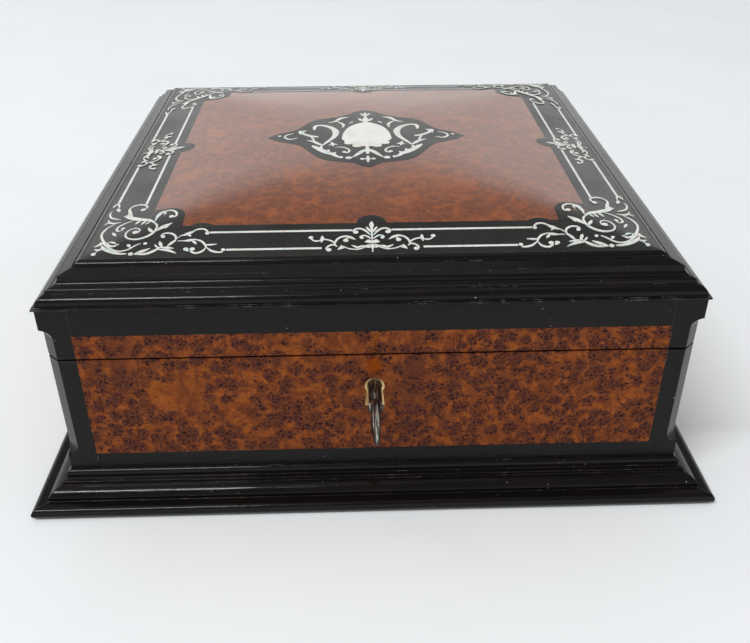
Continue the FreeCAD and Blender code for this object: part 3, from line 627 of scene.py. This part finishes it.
cornerScroll = {
    "ring": [(7.2, 30.4, .3), (4.4, 27.5, 1.2), (3.2, 22.5, 1.4), (4.1, 18, 1.3), (6.2, 13, 1.5),
             (8.2, 9, 1.4), (11.5, 5.9, 1.2), (15, 5, 1), (18, 6.4, .9), (20, 8.7, .8), (22.1, 10.3, .4)],
    "footLeaf": [(6, 10, .5), (7.5, 7, 2), (11, 4.6, 2.2), (14.5, 3.3, 1.6), (17.5, 3.1, .8)],
    "sideLeaf": [(2.8, 9.6, .3), (5, 11.2, 2.2), (7.4, 12.8, .4)],
    "sideLobe": [(4.6, 13.6, .2), (5.2, 12, 1.3), (6.8, 11.6, .3)],
    "cornerLeaf": [(3.4, 7.3, .3), (5, 6.4, 1.3), (6.9, 6, .4)],
    "cornerStem": [(4.6, 4, .4), (5.8, 6.2, .8), (7, 8, .5)],
    "hook": [(7.8, 12.4, .4), (9.2, 9.2, 1.5), (11.3, 8.6, 1.4), (13.2, 10.2, .4)],
    "hookLobe": [(8.4, 12.6, .3), (10.4, 11.5, 1.6), (12, 10.3, .3)],
    "ringLeaf": [(16.6, 9.4, .5), (17.8, 8, .9), (19.2, 7.2, .3)],
    "collar": [(2.6, 36.2, .3), (4, 33, 1.2), (6.6, 31.3, 1.5), (9.4, 31.7, .4)],
    "collarLeaf": [(1.9, 31.2, .3), (3.2, 32.6, 1.3), (4.4, 33.6, .3)],
    "sideArc": [(2.4, 45.6, .3), (1.9, 42.6, 1), (3.4, 38.4, 1.2), (6, 36, 1.1), (8.6, 34.4, .3)],
    "sideBud": [(4.4, 47.9, .4), (5, 46, 2.3), (6.1, 43.6, .4)],
    "forkLeft": [(2.9, 53.6, 1.2), (2, 51.5, 1.5), (1.6, 49.6, .3)],
    "forkRight": [(3.1, 53.6, 1), (4.2, 51, 1.3), (4.7, 48.3, .4)],
    "innerRing": [(15.3, 31.3, .3), (12, 29.6, 1), (9.4, 26.8, 1.2), (9.2, 23.6, 1.2), (10.6, 22.2, 1),
                  (12.2, 22.8, .8)],
    "innerRingLeaf": [(7.9, 21.6, .4), (9, 19.6, 1.7), (10.3, 17.3, .3)],
    "spiral": [(19.6, 18.3, .6), (19.8, 20.8, .8), (17.4, 22.6, 1), (14.8, 20.8, 1), (14.4, 17, 1),
               (16.2, 14, 1.1), (19.5, 13.2, 1.3), (23, 14.6, 1.5), (25.7, 17.4, 1.4), (26.8, 21, 1.2),
               (26.3, 24.4, 1.1), (24.1, 26.8, .7)],
    "acanthus": [(9.2, 37.8, .3), (12, 35.4, 2.2), (14.6, 33.4, 3.2), (18.4, 31, 2.8), (22, 29.2, 2.2),
                 (24.6, 26.8, 1.2), (26.2, 23.8, .4)],
    "acanthusLobeA": [(18.6, 30.4, .8), (17.4, 28.4, 1.6), (16.6, 26.6, .3)],
    "acanthusLobeB": [(21, 29, .8), (20.2, 27.2, 1.6), (19.4, 25.4, .3)],
    "acanthusLobeC": [(23.4, 27.8, .6), (22.2, 26.4, 1.2), (21.4, 25.2, .2)],
    "acanthusTip": [(10, 38.4, .3), (11.6, 37.2, 1.5), (13.4, 35.4, .4)],
    "upperCurl": [(14, 33.6, .4), (12.2, 38, 2.2), (11.2, 41.5, 1.8), (10.4, 44.6, 1.2), (11.4, 47.2, 1.3),
                  (13.8, 48.2, 1.5), (16.6, 47.2, 1.3), (18.4, 44.8, 1.1), (18.4, 42.6, .9)],
    "innerCurl": [(25.2, 27.2, .3), (25.4, 31.4, 1.8), (26.4, 35, 2.6), (28, 36.4, 1.4), (30.6, 36.7, 1.2),
                  (33, 34.6, 1.3), (33.7, 31.6, 1.1), (32.8, 29.8, .8)],
    "innerCurlLobe": [(28, 32.8, .3), (28.4, 34.6, 1.4), (27.2, 36, .4)],
    "spray": [(26.6, 18.8, .3), (29, 21.6, 2.4), (31, 23.4, 2.2), (33, 25.2, .3)],
    "sprayLobe": [(30.4, 20.9, .3), (31.2, 22.6, 1.3), (31.9, 24, .3)],
    "sprayBack": [(23.2, 22, .3), (24.4, 19.8, 2), (26, 17.8, .4)],
    "footLeafA": [(20.8, 2.9, .3), (23.4, 4.4, 2.4), (26.6, 6.6, .3)],
    "footLeafB": [(20.6, 2.6, .4), (25, 2.7, 1.6), (28.2, 4.6, 1.8), (30.6, 7.4, .6)],
    "footLeafC": [(29.7, 11.4, .4), (30.3, 9.6, 1.9), (31.4, 7, .5)],
    "footLeafD": [(30.6, 7, .4), (33.4, 6.9, 1.7), (36.3, 6.3, .3)],
    "footLeafE": [(29.6, 5.8, .4), (33.6, 5.2, 1.9), (37.7, 2.9, .3)],
    "footLeafF": [(28, 9.2, .3), (28.8, 8, 1.2), (30, 6.6, .4)],
    "armStem": [(33.4, 7.8, .4), (34.6, 9.8, 1.6), (36.2, 12.4, .6)],
    "armCurl": [(36.1, 11, .5), (35.9, 14.6, 1.2), (33.8, 17, 1.2), (31, 17.2, 1), (29.6, 15.6, .8)],
    "armNeck": [(36, 12.6, .4), (38.2, 15.4, .5), (40.4, 16.6, .4)],
    "armLeaf": [(38.4, 15.2, .3), (41, 16.8, 2.3), (43.4, 18.8, .4)],
    "armLobe": [(39.8, 16.6, .3), (41.4, 15.6, 1.4), (42.2, 14.6, .3)],
    "armHook": [(42.6, 18.4, .6), (44.8, 19.9, 1.1), (47.2, 19.8, 1.2), (49, 17.8, 1)],
    "lowNeck": [(37, 11.4, .3), (38.6, 11.6, .6), (40.5, 11.4, .4)],
    "lowLeaf": [(39.3, 11.4, .3), (42, 11.8, 2), (44.6, 12.6, .5)],
    "lowLobe": [(43.2, 11.8, .5), (44.2, 10.4, 1.6), (45.2, 9, .3)],
    "lowArc": [(43.6, 12.6, .6), (46.6, 11.4, 1.1), (48.4, 9.2, 1.2), (49.6, 6.6, .8)],
    "lowSprig": [(48.6, 8.4, .4), (51, 8.4, 1.3), (53.7, 8.8, .3)],
    "lowTail": [(49.4, 6.8, .5), (52, 4.1, 1.3), (54.6, 3.1, 1.2), (56.6, 3.2, .8)],
    "lowCurl": [(49.4, 6.6, .5), (48.2, 3.9, 1.2), (45.6, 2.7, 1.3), (43.3, 4.2, 1)],
}
cornerBulbs = [(24, 10, .9), (19.3, 2.8, 1.2), (4.2, 3, 1.1), (17.4, 8.8, .85), (11.9, 24.1, 1.05),
               (18.3, 18.7, 1.45), (17.2, 41.7, 1.4), (31.7, 30.7, 1.3), (30.6, 14.8, 1.05),
               (48.8, 16.7, 1.05), (56.7, 4.7, 1.05), (43.9, 5.5, 1.25), (41.3, 5.6, 1.2), (42, 4.6, .7)]

cornerFine, bulbFine = 0.80, 0.88   # strokes and bulbs cut finer than traced
corners = InlaySheet(inlayCut["scrollLift"], fine=cornerFine)
fineBulbs = [(a, b, radius * bulbFine) for a, b, radius in cornerBulbs]
for turnX in (-1, 1):
    for turnY in (-1, 1):
        corners.figure(cornerScroll, fineBulbs, lambda shape: mirrored(
            [(half - a, half - b, size) for a, b, size in shape], turnX, turnY))
cornersPiece = corners.piece("cornerScrolls", bone, "bone_inlay")
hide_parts("corner_scrolls")


# palmettes: the right half, (x, y, width) on the front border

palmetteMiddle = {
    "bud": [(0, -94.1, .2), (0, -96.6, 2.4), (0, -99, 1.4), (0, -102, 1.2), (0, -105.5, .9), (0, -107.8, .5)],
    "urn": [(-3.1, -109.3, .6), (-1.8, -109.1, 1.9), (0, -109.2, 2.1), (1.8, -109.1, 1.9), (3.1, -109.3, .6)],
    "drop": [(0, -110.6, .5), (0, -112.4, 2.4), (0, -113.6, 1.1), (0, -115, .5), (0, -116.3, .8)],
}
palmetteHalf = {
    "budLobe": [(2.4, -98.2, .3), (1.7, -99.5, 1.3), (.6, -102, .8)],
    "curl": [(.7, -104.5, .4), (2.2, -101.8, 1.2), (4, -99.9, 1.3), (6, -99.5, 1.2), (7.6, -100.5, 1),
             (7.9, -101.8, .8)],
    "curlTwo": [(.5, -107.2, .4), (1.6, -105.7, 1), (3.2, -104.6, 1), (4.7, -105.2, .9), (5.1, -106.2, .7)],
    "dropLobe": [(2.6, -112.8, .3), (1.6, -112.9, 1.5), (.4, -112.3, .8)],
    "armStem": [(.8, -110.9, .4), (2, -111.9, 1.2), (3.6, -113.2, .9), (5.8, -114.3, .9), (8, -114.3, .8),
                (10.2, -113.6, .8), (12.2, -112.2, .7)],
    "armLeaf": [(2.6, -111.9, .3), (4.8, -112.4, 1.4), (6.8, -113.6, .4)],
    "armLobe": [(5.2, -113.4, .3), (7, -112.6, 1.3), (8.7, -111.4, .3)],
    "armTip": [(12.8, -111.3, .3), (13, -112.8, 1.6), (14.3, -114.4, .4)],
    "armTipTwo": [(11.6, -113.4, .3), (13, -113.4, 1.4), (14.2, -114.6, .3)],
    "scroll": [(15.6, -110.8, .8), (15.2, -108.4, 1.1), (13.6, -106, 1.2), (11.2, -105, 1.4),
               (9, -105.9, 1.8), (6.9, -107.6, .3)],
    "scrollDrop": [(10.2, -106, .6), (11, -107.4, .9), (11, -108.4, .6)],
    "branch": [(15.6, -110, .6), (16.6, -108.6, 1), (18.4, -107.4, 1), (20.2, -107, 1)],
    "branchLeaf": [(20.9, -104.6, .5), (20.8, -106.6, 1.9), (21.2, -109.2, .5)],
    "branchTail": [(21.4, -107.6, .6), (23, -108.2, 1.1), (24.6, -107.6, .9), (25.6, -106.2, .6)],
    "foot": [(14.6, -112.3, .6), (16, -111, 1.1), (17.6, -111.4, 1.1), (18.9, -113, 1), (19, -114.4, .7)],
}
palmetteBulbs = [(6.8, -102.1, 1.15), (4.3, -106.3, .85), (1.6, -108.6, .9), (11, -108, 1.15),
                 (25.6, -105.6, 1), (18, -114.5, 1.1)]

palmetteFine = 0.84
palmettes = InlaySheet(inlayCut["scrollLift"], fine=palmetteFine)
for turns in range(4):
    palmettes.figure(palmetteMiddle, [], lambda shape: quarterTurned(shape, turns))
    for turnX in (-1, 1):
        palmettes.figure(palmetteHalf, palmetteBulbs,
                         lambda shape: quarterTurned(mirrored(shape, turnX, 1), turns))
palmettesPiece = palmettes.piece("sidePalmettes", bone, "bone_inlay")
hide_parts("side_palmettes")


# scrolls and medallion of the cartouche: the right half, (x, y, width)

cartoucheMiddle = {
    "finial": [(0, 16.6, 3.4), (0, 20, 2.0), (0, 24, 2.8), (0, 28, 1.5), (0, 32, 2.0), (0, 37, .4)],
    "fan": [(0, -16.6, 2.2), (0, -21, 1.7), (0, -24, 2.6), (0, -28.4, .8)],
    "fleuron": [(0, -30.6, .8), (0, -34.2, 1.8), (0, -38.4, .7)],
    "fleuronBar": [(-2.7, -34.4, 1.2), (0, -34.2, .9), (2.7, -34.4, 1.2)],
}
cartoucheHalf = {
    "hook": [(27, 7.6, .8), (27.2, 11.5, 1.9), (26, 14.6, 1.9), (22.4, 14.3, 2.1), (18.6, 10.8, 2.7),
             (16.2, 5.6, 3.3), (15.9, .5, 3.2), (16.8, -4.2, 2.5), (18.9, -8.8, 1.9), (20.8, -12.4, 1.5),
             (22.4, -16, .8)],
    "leafLow": [(22.4, -16.3, .6), (24.4, -13.3, 1.9), (27.4, -9.6, 1.7), (30.4, -7.9, .4)],
    "leafMiddle": [(24.8, -3.2, 1.5), (27.8, -2.2, 2.3), (30.8, .4, 1.9), (34, 4.2, 1.9), (34.6, 6.8, 1.3),
                   (31.4, 6.9, .4)],
    "leafHigh": [(34.8, 1.8, .3), (33.6, 4.4, 1.5), (31.4, 7.6, .4)],
    "leafBack": [(26.6, -9.4, .3), (27.4, -6, 1.3), (28.6, -3, .4)],
    "tipLoop": [(37.6, 4, .4), (41, 2.3, 1), (42.2, -1.2, 1.1), (39.6, -4.6, 1.2), (35.6, -3.7, .5)],
    "garland": [(27.8, -15.2, .6), (25.8, -18, 2.5), (23, -22, 3.2), (19.8, -25.6, 3.2), (17.2, -27.8, 2.5),
                (14.8, -31, 1.7), (12.6, -32, .9)],
    "garlandLobeA": [(23.2, -16.6, .4), (23, -19, 1.8), (23.6, -22, .6)],
    "garlandLobeB": [(19.4, -21.4, .4), (19.4, -23.6, 1.8), (20, -26, .6)],
    "garlandLobeC": [(15.6, -25.2, .4), (16.6, -26.8, 1.8), (17.4, -28.4, .6)],
    "curl": [(16.2, -19, .3), (13.4, -18.7, .9), (10.6, -20.2, 1), (9, -23.2, 1.1), (9.6, -26, 1.1),
             (11.4, -26.2, .9)],
    "starUp": [(18.2, -11.6, .4), (17.3, -14, 1.8), (17, -17.4, .4)],
    "starAcross": [(14.8, -15.1, .4), (16.8, -14.8, 1.5), (19.4, -15.6, .4)],
    "fanLeaf": [(.6, -22.4, .8), (2.6, -25, 2.3), (4.6, -28, 2.1), (6.6, -31.2, 1.1), (8, -32.6, .4)],
    "stem": [(9.2, 27.8, .6), (12.8, 26.6, 2.2), (15.2, 23, 2), (17, 20.4, 1.5), (20.2, 19.2, .4)],
    "stemBranch": [(15.4, 20.4, .6), (13, 17.4, 1.5), (11.9, 14, 1.5), (12.4, 9.8, .5)],
    "stemDrop": [(8.8, 16.8, .4), (7.6, 18.4, 1.2), (6.6, 19.6, .3)],
    "finialLeaf": [(.6, 19.6, .6), (2.4, 22.4, 2.1), (3.8, 25.4, .4)],
    "finialTop": [(.4, 29.6, .5), (1.6, 32.4, 1.5), (2.6, 35, .4)],
}
cartoucheBulbs = [(9.4, -32.8, 1.6), (13.2, -31.9, 1.2), (11.5, -25.2, 1.1), (44.9, 1.2, .9),
                  (2.8, -34.4, 1.0)]

scrolls = InlaySheet(inlayCut["scrollLift"])
scrolls.figure(cartoucheMiddle, [], list)
for turnX in (-1, 1):
    scrolls.figure(cartoucheHalf, cartoucheBulbs, lambda shape: mirrored(shape, turnX, 1))
scrollsPiece = scrolls.piece("cartoucheScrolls", bone, "bone_inlay")
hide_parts("cartouche_scrolls")

medallionShape = {
    "side": [(0, 18), (2.5, 17.4), (6.4, 14), (9.2, 10), (11.1, 4.6), (12.2, -1), (12.7, -6.6), (12.1, -9),
             (10.6, -10.8)],
    "lobes": [((9, -13), 2.5, 40, -120), ((5, -17), 2.5, 45, -140)],   # scallops under it
    "lobeSteps": 10,
    "foot": (1.9, -17.2),
}


def medallionOutline():
    right = smoothRim(medallionShape["side"])
    for (x, y), radius, start, end in medallionShape["lobes"]:
        right += arcPoints(x, y, radius, start, end, medallionShape["lobeSteps"])
    right.append(medallionShape["foot"])
    return right[::-1] + [(-x, y) for x, y in right[1:]]


medallion = InlaySheet(inlayCut["medallionLift"], inlayCut["medallionDepth"])
medallion.patch(medallionOutline())
medallionPiece = medallion.piece("cartoucheMedallion", boneMedallion, "bone_inlay")
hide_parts("cartouche_medallion")
print("white inlay laid")


# key, built from turned, bent and sawn parts

def turned(profile, axisZ, segments=28):  # profile: (radius, y) along the key
    points, faces, rings = [], [], []
    for radius, y in profile:
        count = segments if radius > 1e-6 else 1
        rings.append(range(len(points), len(points) + count))
        for i in range(count):
            t = 2 * pi * i / segments
            points.append((radius * cos(t), y, axisZ + radius * sin(t)))
    for near, far in zip(rings, rings[1:]):
        for i in range(segments):
            k = i + 1
            face = [near[i % len(near)], near[k % len(near)], far[k % len(far)], far[i % len(far)]]
            faces.append(list(dict.fromkeys(face)))
    return points, faces


def layered(rings, bent=False):  # rings of one count make a solid; bent: the last meets the first
    count, points = len(rings[0]), [p for ring in rings for p in ring]
    whole = list(range(len(points)))
    faces = [] if bent else [whole[:count][::-1], whole[-count:]]
    for near, far in around(whole[::count])[:None if bent else -1]:
        faces += [[near + i, near + k, far + k, far + i] for i, k in around(whole[:count])]
    return points, faces


keyLow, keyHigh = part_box("key")
keyShape = {
    "axis": (keyLow.z + keyHigh.z) / 2 / mm,
    "bowEnd": keyLow.y / mm, "tip": keyHigh.y / mm,
    "bowRadius": 9.5, "bowRim": 1.6,
    "bowThick": (2.0, 1.15),   # half thickness at the neck and at the far side
    "neck": [(0, -.4), (1.7, -.2), (2.3, .5), (3.1, 1.1), (3.4, 1.6), (3.1, 2.2), (2.5, 2.7), (2.8, 3.4)],
    "barrelEnd": [(2.8, -.3), (2.5, 0), (1.6, 0), (1.6, -9), (0, -9.4)],   # radius, distance from the tip
    "bitThick": 2.3, "bitLength": 5.0, "bitTop": 1.9, "bitReach": 7.5, "bitBack": .2, "notch": 1.2,
}


def keyBow(steps=64, sides=16):
    ring = keyShape["bowRadius"] - keyShape["bowRim"]
    middle = keyShape["bowEnd"] + keyShape["bowRadius"]
    thick, thin = keyShape["bowThick"]
    rings = []
    for i in range(steps):
        a = 2 * pi * i / steps
        half = thin + (thick - thin) * (1 + cos(a)) / 2
        rings.append([])
        for j in range(sides):
            b = 2 * pi * j / sides
            out = ring + keyShape["bowRim"] * sin(b)
            rings[-1].append((half * cos(b), middle + out * cos(a), keyShape["axis"] + out * sin(a)))
    return layered(rings, bent=True)


def keyParts():
    neck = keyShape["bowEnd"] + 2 * keyShape["bowRadius"] - keyShape["bowRim"]
    profile = [(radius, neck + out) for radius, out in keyShape["neck"]]
    profile += [(radius, keyShape["tip"] + out) for radius, out in keyShape["barrelEnd"]]
    shank = turned(profile, keyShape["axis"])
    back = keyShape["tip"] - keyShape["bitBack"]
    front = back - keyShape["bitLength"]
    top, low = (keyShape["axis"] - keyShape[k] for k in ("bitTop", "bitReach"))
    notch = keyShape["notch"]
    left, right = ((front + back + way * notch) / 2 for way in (-1, 1))
    outline = [(front, top), (front, low), (left, low), (left, low + notch),
               (right, low + notch), (right, low), (back, low), (back, top)]
    side = keyShape["bitThick"] / 2
    bit = layered([[(x, y, z) for y, z in outline] for x in (-side, side)])
    return [keyBow(), shank, bit]


keyPiece = addPiece("boxKey", pileUp("boxKey", keyParts()), iron, "key", 35)
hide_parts("key")
print("key made")


# slotted screws in the hinge leaves, the lock selvedge and the strike plate

screwShape = {
    "radius": 1.85, "slot": 0.24, "height": 0.24, "sunk": -0.1,
    "floor": 0.05, "floorSize": 0.97,    # disc at the bottom of the slot
    "bevel": 0.86, "bevelStart": 0.55,
    "arcSteps": 12, "discSides": 20,
    "hingeAt": 75, "hingePitch": 13.5,   # middle of each leaf, screw to screw
    "lockInset": 4,
}


def slottedHead(x, y, z, up, turn):
    radius, height = screwShape["radius"], screwShape["height"]
    reach = math.degrees(math.acos(screwShape["slot"] / radius))
    moon = arcPoints(0, 0, radius, -reach, reach, screwShape["arcSteps"])
    core = radius / 2   # each half head is bevelled towards here
    levels = [(1.0, screwShape["sunk"]), (1.0, height * screwShape["bevelStart"]),
              (screwShape["bevel"], height)]
    parts = []
    for angle in (turn, turn + pi):
        rings = []
        for size, rise in levels:
            shrunk = [(core + (px - core) * size, py * size) for px, py in moon]
            rings.append([(x + qx * cos(angle) - qy * sin(angle),
                           y + qx * sin(angle) + qy * cos(angle), z + up * rise) for qx, qy in shrunk])
        parts.append(layered(rings))
    sides = screwShape["discSides"]
    disc = arcPoints(x, y, radius * screwShape["floorSize"], 0, 360, sides)[:sides]
    parts.append(layered([[(px, py, z + up * rise) for px, py in disc]
                          for rise in (screwShape["sunk"], screwShape["floor"])]))
    return parts


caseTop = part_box("case_front")[1].z / mm
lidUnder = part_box("lid_front")[0].z / mm
hingeY = (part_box("hinge_case_leaves")[0].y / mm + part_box("case_back")[1].y / mm) / 2
lockLow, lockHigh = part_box("lock_selvedge")
lockY = (lockLow.y + lockHigh.y) / 2 / mm
hingePlaces = [side * screwShape["hingeAt"] + along * screwShape["hingePitch"]
               for side in (-1, 1) for along in (-1, 0, 1)]
lockPlaces = [lockLow.x / mm + screwShape["lockInset"], lockHigh.x / mm - screwShape["lockInset"]]
screwSets = [
    ("hingeCaseScrews", "case", hingePlaces, hingeY, caseTop, 1),
    ("hingeLidScrews", "lid", hingePlaces, hingeY, lidUnder, -1),
    ("selvedgeScrews", "case", lockPlaces, lockY, caseTop, 1),
    ("strikeScrews", "lid", lockPlaces, lockY, lidUnder, -1),
]
random.seed(7)
for name, body, places, y, z, up in screwSets:
    heads = []
    for x in places:
        heads += slottedHead(x, y, z, up, random.uniform(0, pi))
    addPiece(name, pileUp(name, heads), steel, body, 30)
print("screws set")


# satin linings: padded floor and lid, cloth covered boards on the walls

padShape = {
    "cell": 5.5, "tuck": 0.1, "edge": 0.05,    # mm
    "pressure": 4.0, "shrink": -0.02, "stiffness": 0.4, "steps": 20,
    "cap": 2.4,      # most that the stuffing moves a point, mm
}


def padBlank(low, high, up):  # closed slab of small cells; its show face is slightly tucked in
    across = high.x - low.x - 2 * padShape["edge"] * mm
    cells = round(across / mm / padShape["cell"])
    tuck = padShape["tuck"] * mm
    back, face = (low.z, high.z - tuck) if up > 0 else (high.z, low.z + tuck)
    bm = bmesh.new()
    crease = bm.edges.layers.float.new("crease_edge")
    for z in (back, face):
        grid = bmesh.ops.create_grid(bm, x_segments=cells, y_segments=cells, size=across / 2)
        for v in grid["verts"]:
            v.co.z = z
    rims = [e for z in (back, face) for e in bm.edges if e.is_boundary and abs(e.verts[0].co.z - z) < 1e-7]
    for edge in rims:
        edge[crease] = 1.0  # the seam round the pad stays sharp against the wall
    bmesh.ops.bridge_loops(bm, edges=rims)
    bmesh.ops.recalc_face_normals(bm, faces=bm.faces)
    mesh = bpy.data.meshes.new("padBlank")
    bm.to_mesh(mesh)
    bm.free()
    return mesh, face


def stuffedPad(name, node, body, up):
    low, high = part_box(node)
    mesh, face = padBlank(low, high, up)
    pad = addPiece(name, mesh, satin, body, 180)
    rest = [v.co.copy() for v in mesh.vertices]
    rim = max(v.x for v in rest) - 1e-6
    held = [i for i, p in enumerate(rest) if abs(p.z - face) > 1e-6 or max(abs(p.x), abs(p.y)) > rim]
    sewn = pad.vertex_groups.new(name="sewn")
    sewn.add(held, 1.0, "REPLACE")
    cloth = pad.modifiers.new("stuffing", "CLOTH")
    cloth.settings.vertex_group_mass = "sewn"
    cloth.settings.use_pressure = True
    cloth.settings.uniform_pressure_force = padShape["pressure"]
    cloth.settings.effector_weights.gravity = 0
    cloth.settings.shrink_min = padShape["shrink"]
    cloth.settings.bending_stiffness = padShape["stiffness"]
    cloth.point_cache.frame_end = padShape["steps"]
    for step in range(1, padShape["steps"] + 1):
        bpy.context.scene.frame_set(step)
    puffed = pad.evaluated_get(bpy.context.evaluated_depsgraph_get()).to_mesh()
    moved = [v.co.copy() for v in puffed.vertices]
    pad.modifiers.remove(cloth)
    bpy.context.scene.frame_set(1)
    cap = padShape["cap"] * mm
    for vertex, was, now in zip(mesh.vertices, rest, moved):
        shift = now - was
        if shift.length > cap:
            shift *= cap / shift.length
        vertex.co = was + shift
    smooth = pad.modifiers.new("smooth", "SUBSURF")
    smooth.levels = smooth.render_levels = 1
    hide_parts(node)


stuffedPad("floorPad", "floor_lining", "case", up=1)
stuffedPad("lidPad", "lid_lining_pad", "lid", up=-1)

boardShape = {
    "thick": 1.35, "thin": 0.3,         # thin: share of the thickness left at the edges
    "roll": 3.0, "crown": 0.45,
    "ruche": 0.16, "pleat": 7.5, "pleatHeight": 40, "pleatShift": 9.1,
    "clear": 0.02,                      # between card and wall
    "inset": 2.0,                       # boards of the sides are shorter
    "across": 96, "upward": 12,
}


def coveredBoard(half, low, high, turns, inset):  # cloth covered card against one wall
    cols, rows = boardShape["across"], boardShape["upward"]
    thick, thin = boardShape["thick"], boardShape["thin"]
    points = []
    for layer in (0, 1):
        for r in range(rows + 1):
            for c in range(cols + 1):
                x = -half + inset + (2 * half - 2 * inset) * c / cols
                z = low + (high - low) * r / rows
                edge = min(half - inset - abs(x), z - low, high - z)
                roll = math.sqrt(max(0.0, 1 - (1 - min(edge / boardShape["roll"], 1)) ** 2))
                pleat = noise.noise(Vector((x / boardShape["pleat"], turns * boardShape["pleatShift"],
                                            z / boardShape["pleatHeight"])))
                swell = boardShape["crown"] * sin(pi * r / rows) + boardShape["ruche"] * pleat
                out = thick * (thin + (1 - thin) * roll) + roll * swell
                y = -half + (out if layer else boardShape["clear"])
                points += quarterTurned([(x, y, z)], turns)
    row, count = cols + 1, (cols + 1) * (rows + 1)
    cells = [[r * row + c, r * row + c + 1, (r + 1) * row + c + 1, (r + 1) * row + c]
             for r in range(rows) for c in range(cols)]
    faces = cells + [[count + i for i in reversed(cell)] for cell in cells]
    rim = (list(range(cols)) + [r * row + cols for r in range(rows)]
           + [rows * row + c for c in range(cols, 0, -1)] + [r * row for r in range(rows, 0, -1)])
    faces += [[a, b, count + b, count + a] for a, b in around(rim)]
    return points, faces


wallLinings = [
    ("caseWallLining", "case_wall_linings", "case"),
    ("lidWallLining", "lid_wall_linings", "lid"),
]
for name, node, body in wallLinings:
    low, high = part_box(node)
    boards = [coveredBoard(high.x / mm, low.z / mm, high.z / mm, turns, boardShape["inset"] * (turns % 2))
              for turns in range(4)]
    lining = addPiece(name, pileUp(name, boards), satin, body, 180)
    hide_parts(node)
print("linings fitted")


# floor, light and camera

stageLook = {
    "floor": (0.86, 0.88, 0.89), "floorShade": (0.84, 0.86, 0.87),
    "floorSize": 40.0, "floorHeight": -0.0002, "floorDull": 0.9,
    "sky": 0.57,                   # light of the sky on matt surfaces
    "skyColour": (0.97, 0.985, 1.0, 1.0),
    "backdrop": (1.0, 0.22),       # brightness seen low down and overhead
    "fadeHeights": (0.36, 0.66),   # where the backdrop darkens
}


def paleFloor():
    bench = NodeBench("paleFloor", stageLook)
    shade = bench.spots((7, 3, 0.5), 0.35, 0.7)
    bench.tone = bench.blend(shade, "floor", "floorShade")
    bench.bump(bench.clouds(5, 2, 0.5), 0.05, 0.01)
    return bench.finish(stageLook["floorDull"])


bpy.ops.mesh.primitive_plane_add(size=stageLook["floorSize"], location=(0, 0, stageLook["floorHeight"]))
floor = bpy.context.object
floor.name = "floor"
dress(floor, paleFloor())
floor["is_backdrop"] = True

studio = NodeBench("studio", family="worlds", coordinates="Generated")
bpy.context.scene.world = studio.owner
dim = studio.tree.nodes["Background"]
dim.inputs["Color"].default_value = stageLook["skyColour"]
dim.inputs["Strength"].default_value = stageLook["sky"]
fade = studio.step(studio.along("Z"), *stageLook["fadeHeights"], *stageLook["backdrop"])
white = studio.add("Background", {"Color": (1.0, 1.0, 1.0, 1.0), "Strength": fade})
ray = studio.add("LightPath").outputs
seen = studio.calc("MAXIMUM", ray["Is Camera Ray"], ray["Is Glossy Ray"])
seen = studio.calc("MAXIMUM", seen, ray["Is Transmission Ray"])
mixed = studio.add("MixShader", {"Fac": seen, 1: dim.outputs[0], 2: white.outputs[0]})
studio.feed(studio.tree.nodes["World Output"].inputs["Surface"], mixed.outputs[0])

lamps = {     # places and sizes in metres
    "windowLight": {"place": (-0.95, 0.68, 4.05), "target": (0, 0, 0.05), "size": (4.3, 4.3), "power": 24.0},
    "ridgeLight": {"place": (-1.6, -1.5, 3.5), "target": (-1.6, 0, 0.05), "size": (2.2, 0.2), "power": 85.0},
}

for name, look in lamps.items():
    lamp = bpy.data.lights.new(name, "AREA")
    lamp.shape = "RECTANGLE"
    lamp.size, lamp.size_y = look["size"]
    lamp.energy = look["power"]
    made = bpy.data.objects.new(name, lamp)
    bpy.context.scene.collection.objects.link(made)
    made.location = look["place"]
    made.rotation_mode = "QUATERNION"
    aim = Vector(look["target"]) - Vector(look["place"])
    made.rotation_quaternion = aim.to_track_quat("-Z", "Y")

photoView = {
    "place": (-8.2, -432.3, 271.9),   # mm, solved on the outlines in the photograph
    "yaw": 1.627, "pitch": 31.54, "roll": -0.22,
    "focalPixels": 863.75, "imageWidth": 750, "sensor": 36.0,
    "clip": (0.01, 50),
}
yaw, pitch, roll = (math.radians(photoView[k]) for k in ("yaw", "pitch", "roll"))
forward = Vector((sin(yaw) * cos(pitch), cos(yaw) * cos(pitch), -sin(pitch)))
right = Vector((cos(yaw), -sin(yaw), 0))
upward = right.cross(forward)
tiltedRight = cos(roll) * right + sin(roll) * upward
tiltedUp = -sin(roll) * right + cos(roll) * upward
lens = bpy.data.cameras.new("photoCamera")
lens.sensor_width = photoView["sensor"]
lens.lens = photoView["focalPixels"] / photoView["imageWidth"] * photoView["sensor"]
lens.clip_start, lens.clip_end = photoView["clip"]
camera = bpy.data.objects.new("photoCamera", lens)
bpy.context.scene.collection.objects.link(camera)
camera.matrix_world = Matrix.Translation(Vector(photoView["place"]) * mm) @ Matrix(
    (tiltedRight, tiltedUp, -forward)).transposed().to_4x4()
bpy.context.scene.camera = camera
bpy.context.scene.view_settings.view_transform = "Standard"
print("stage set")

low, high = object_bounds()
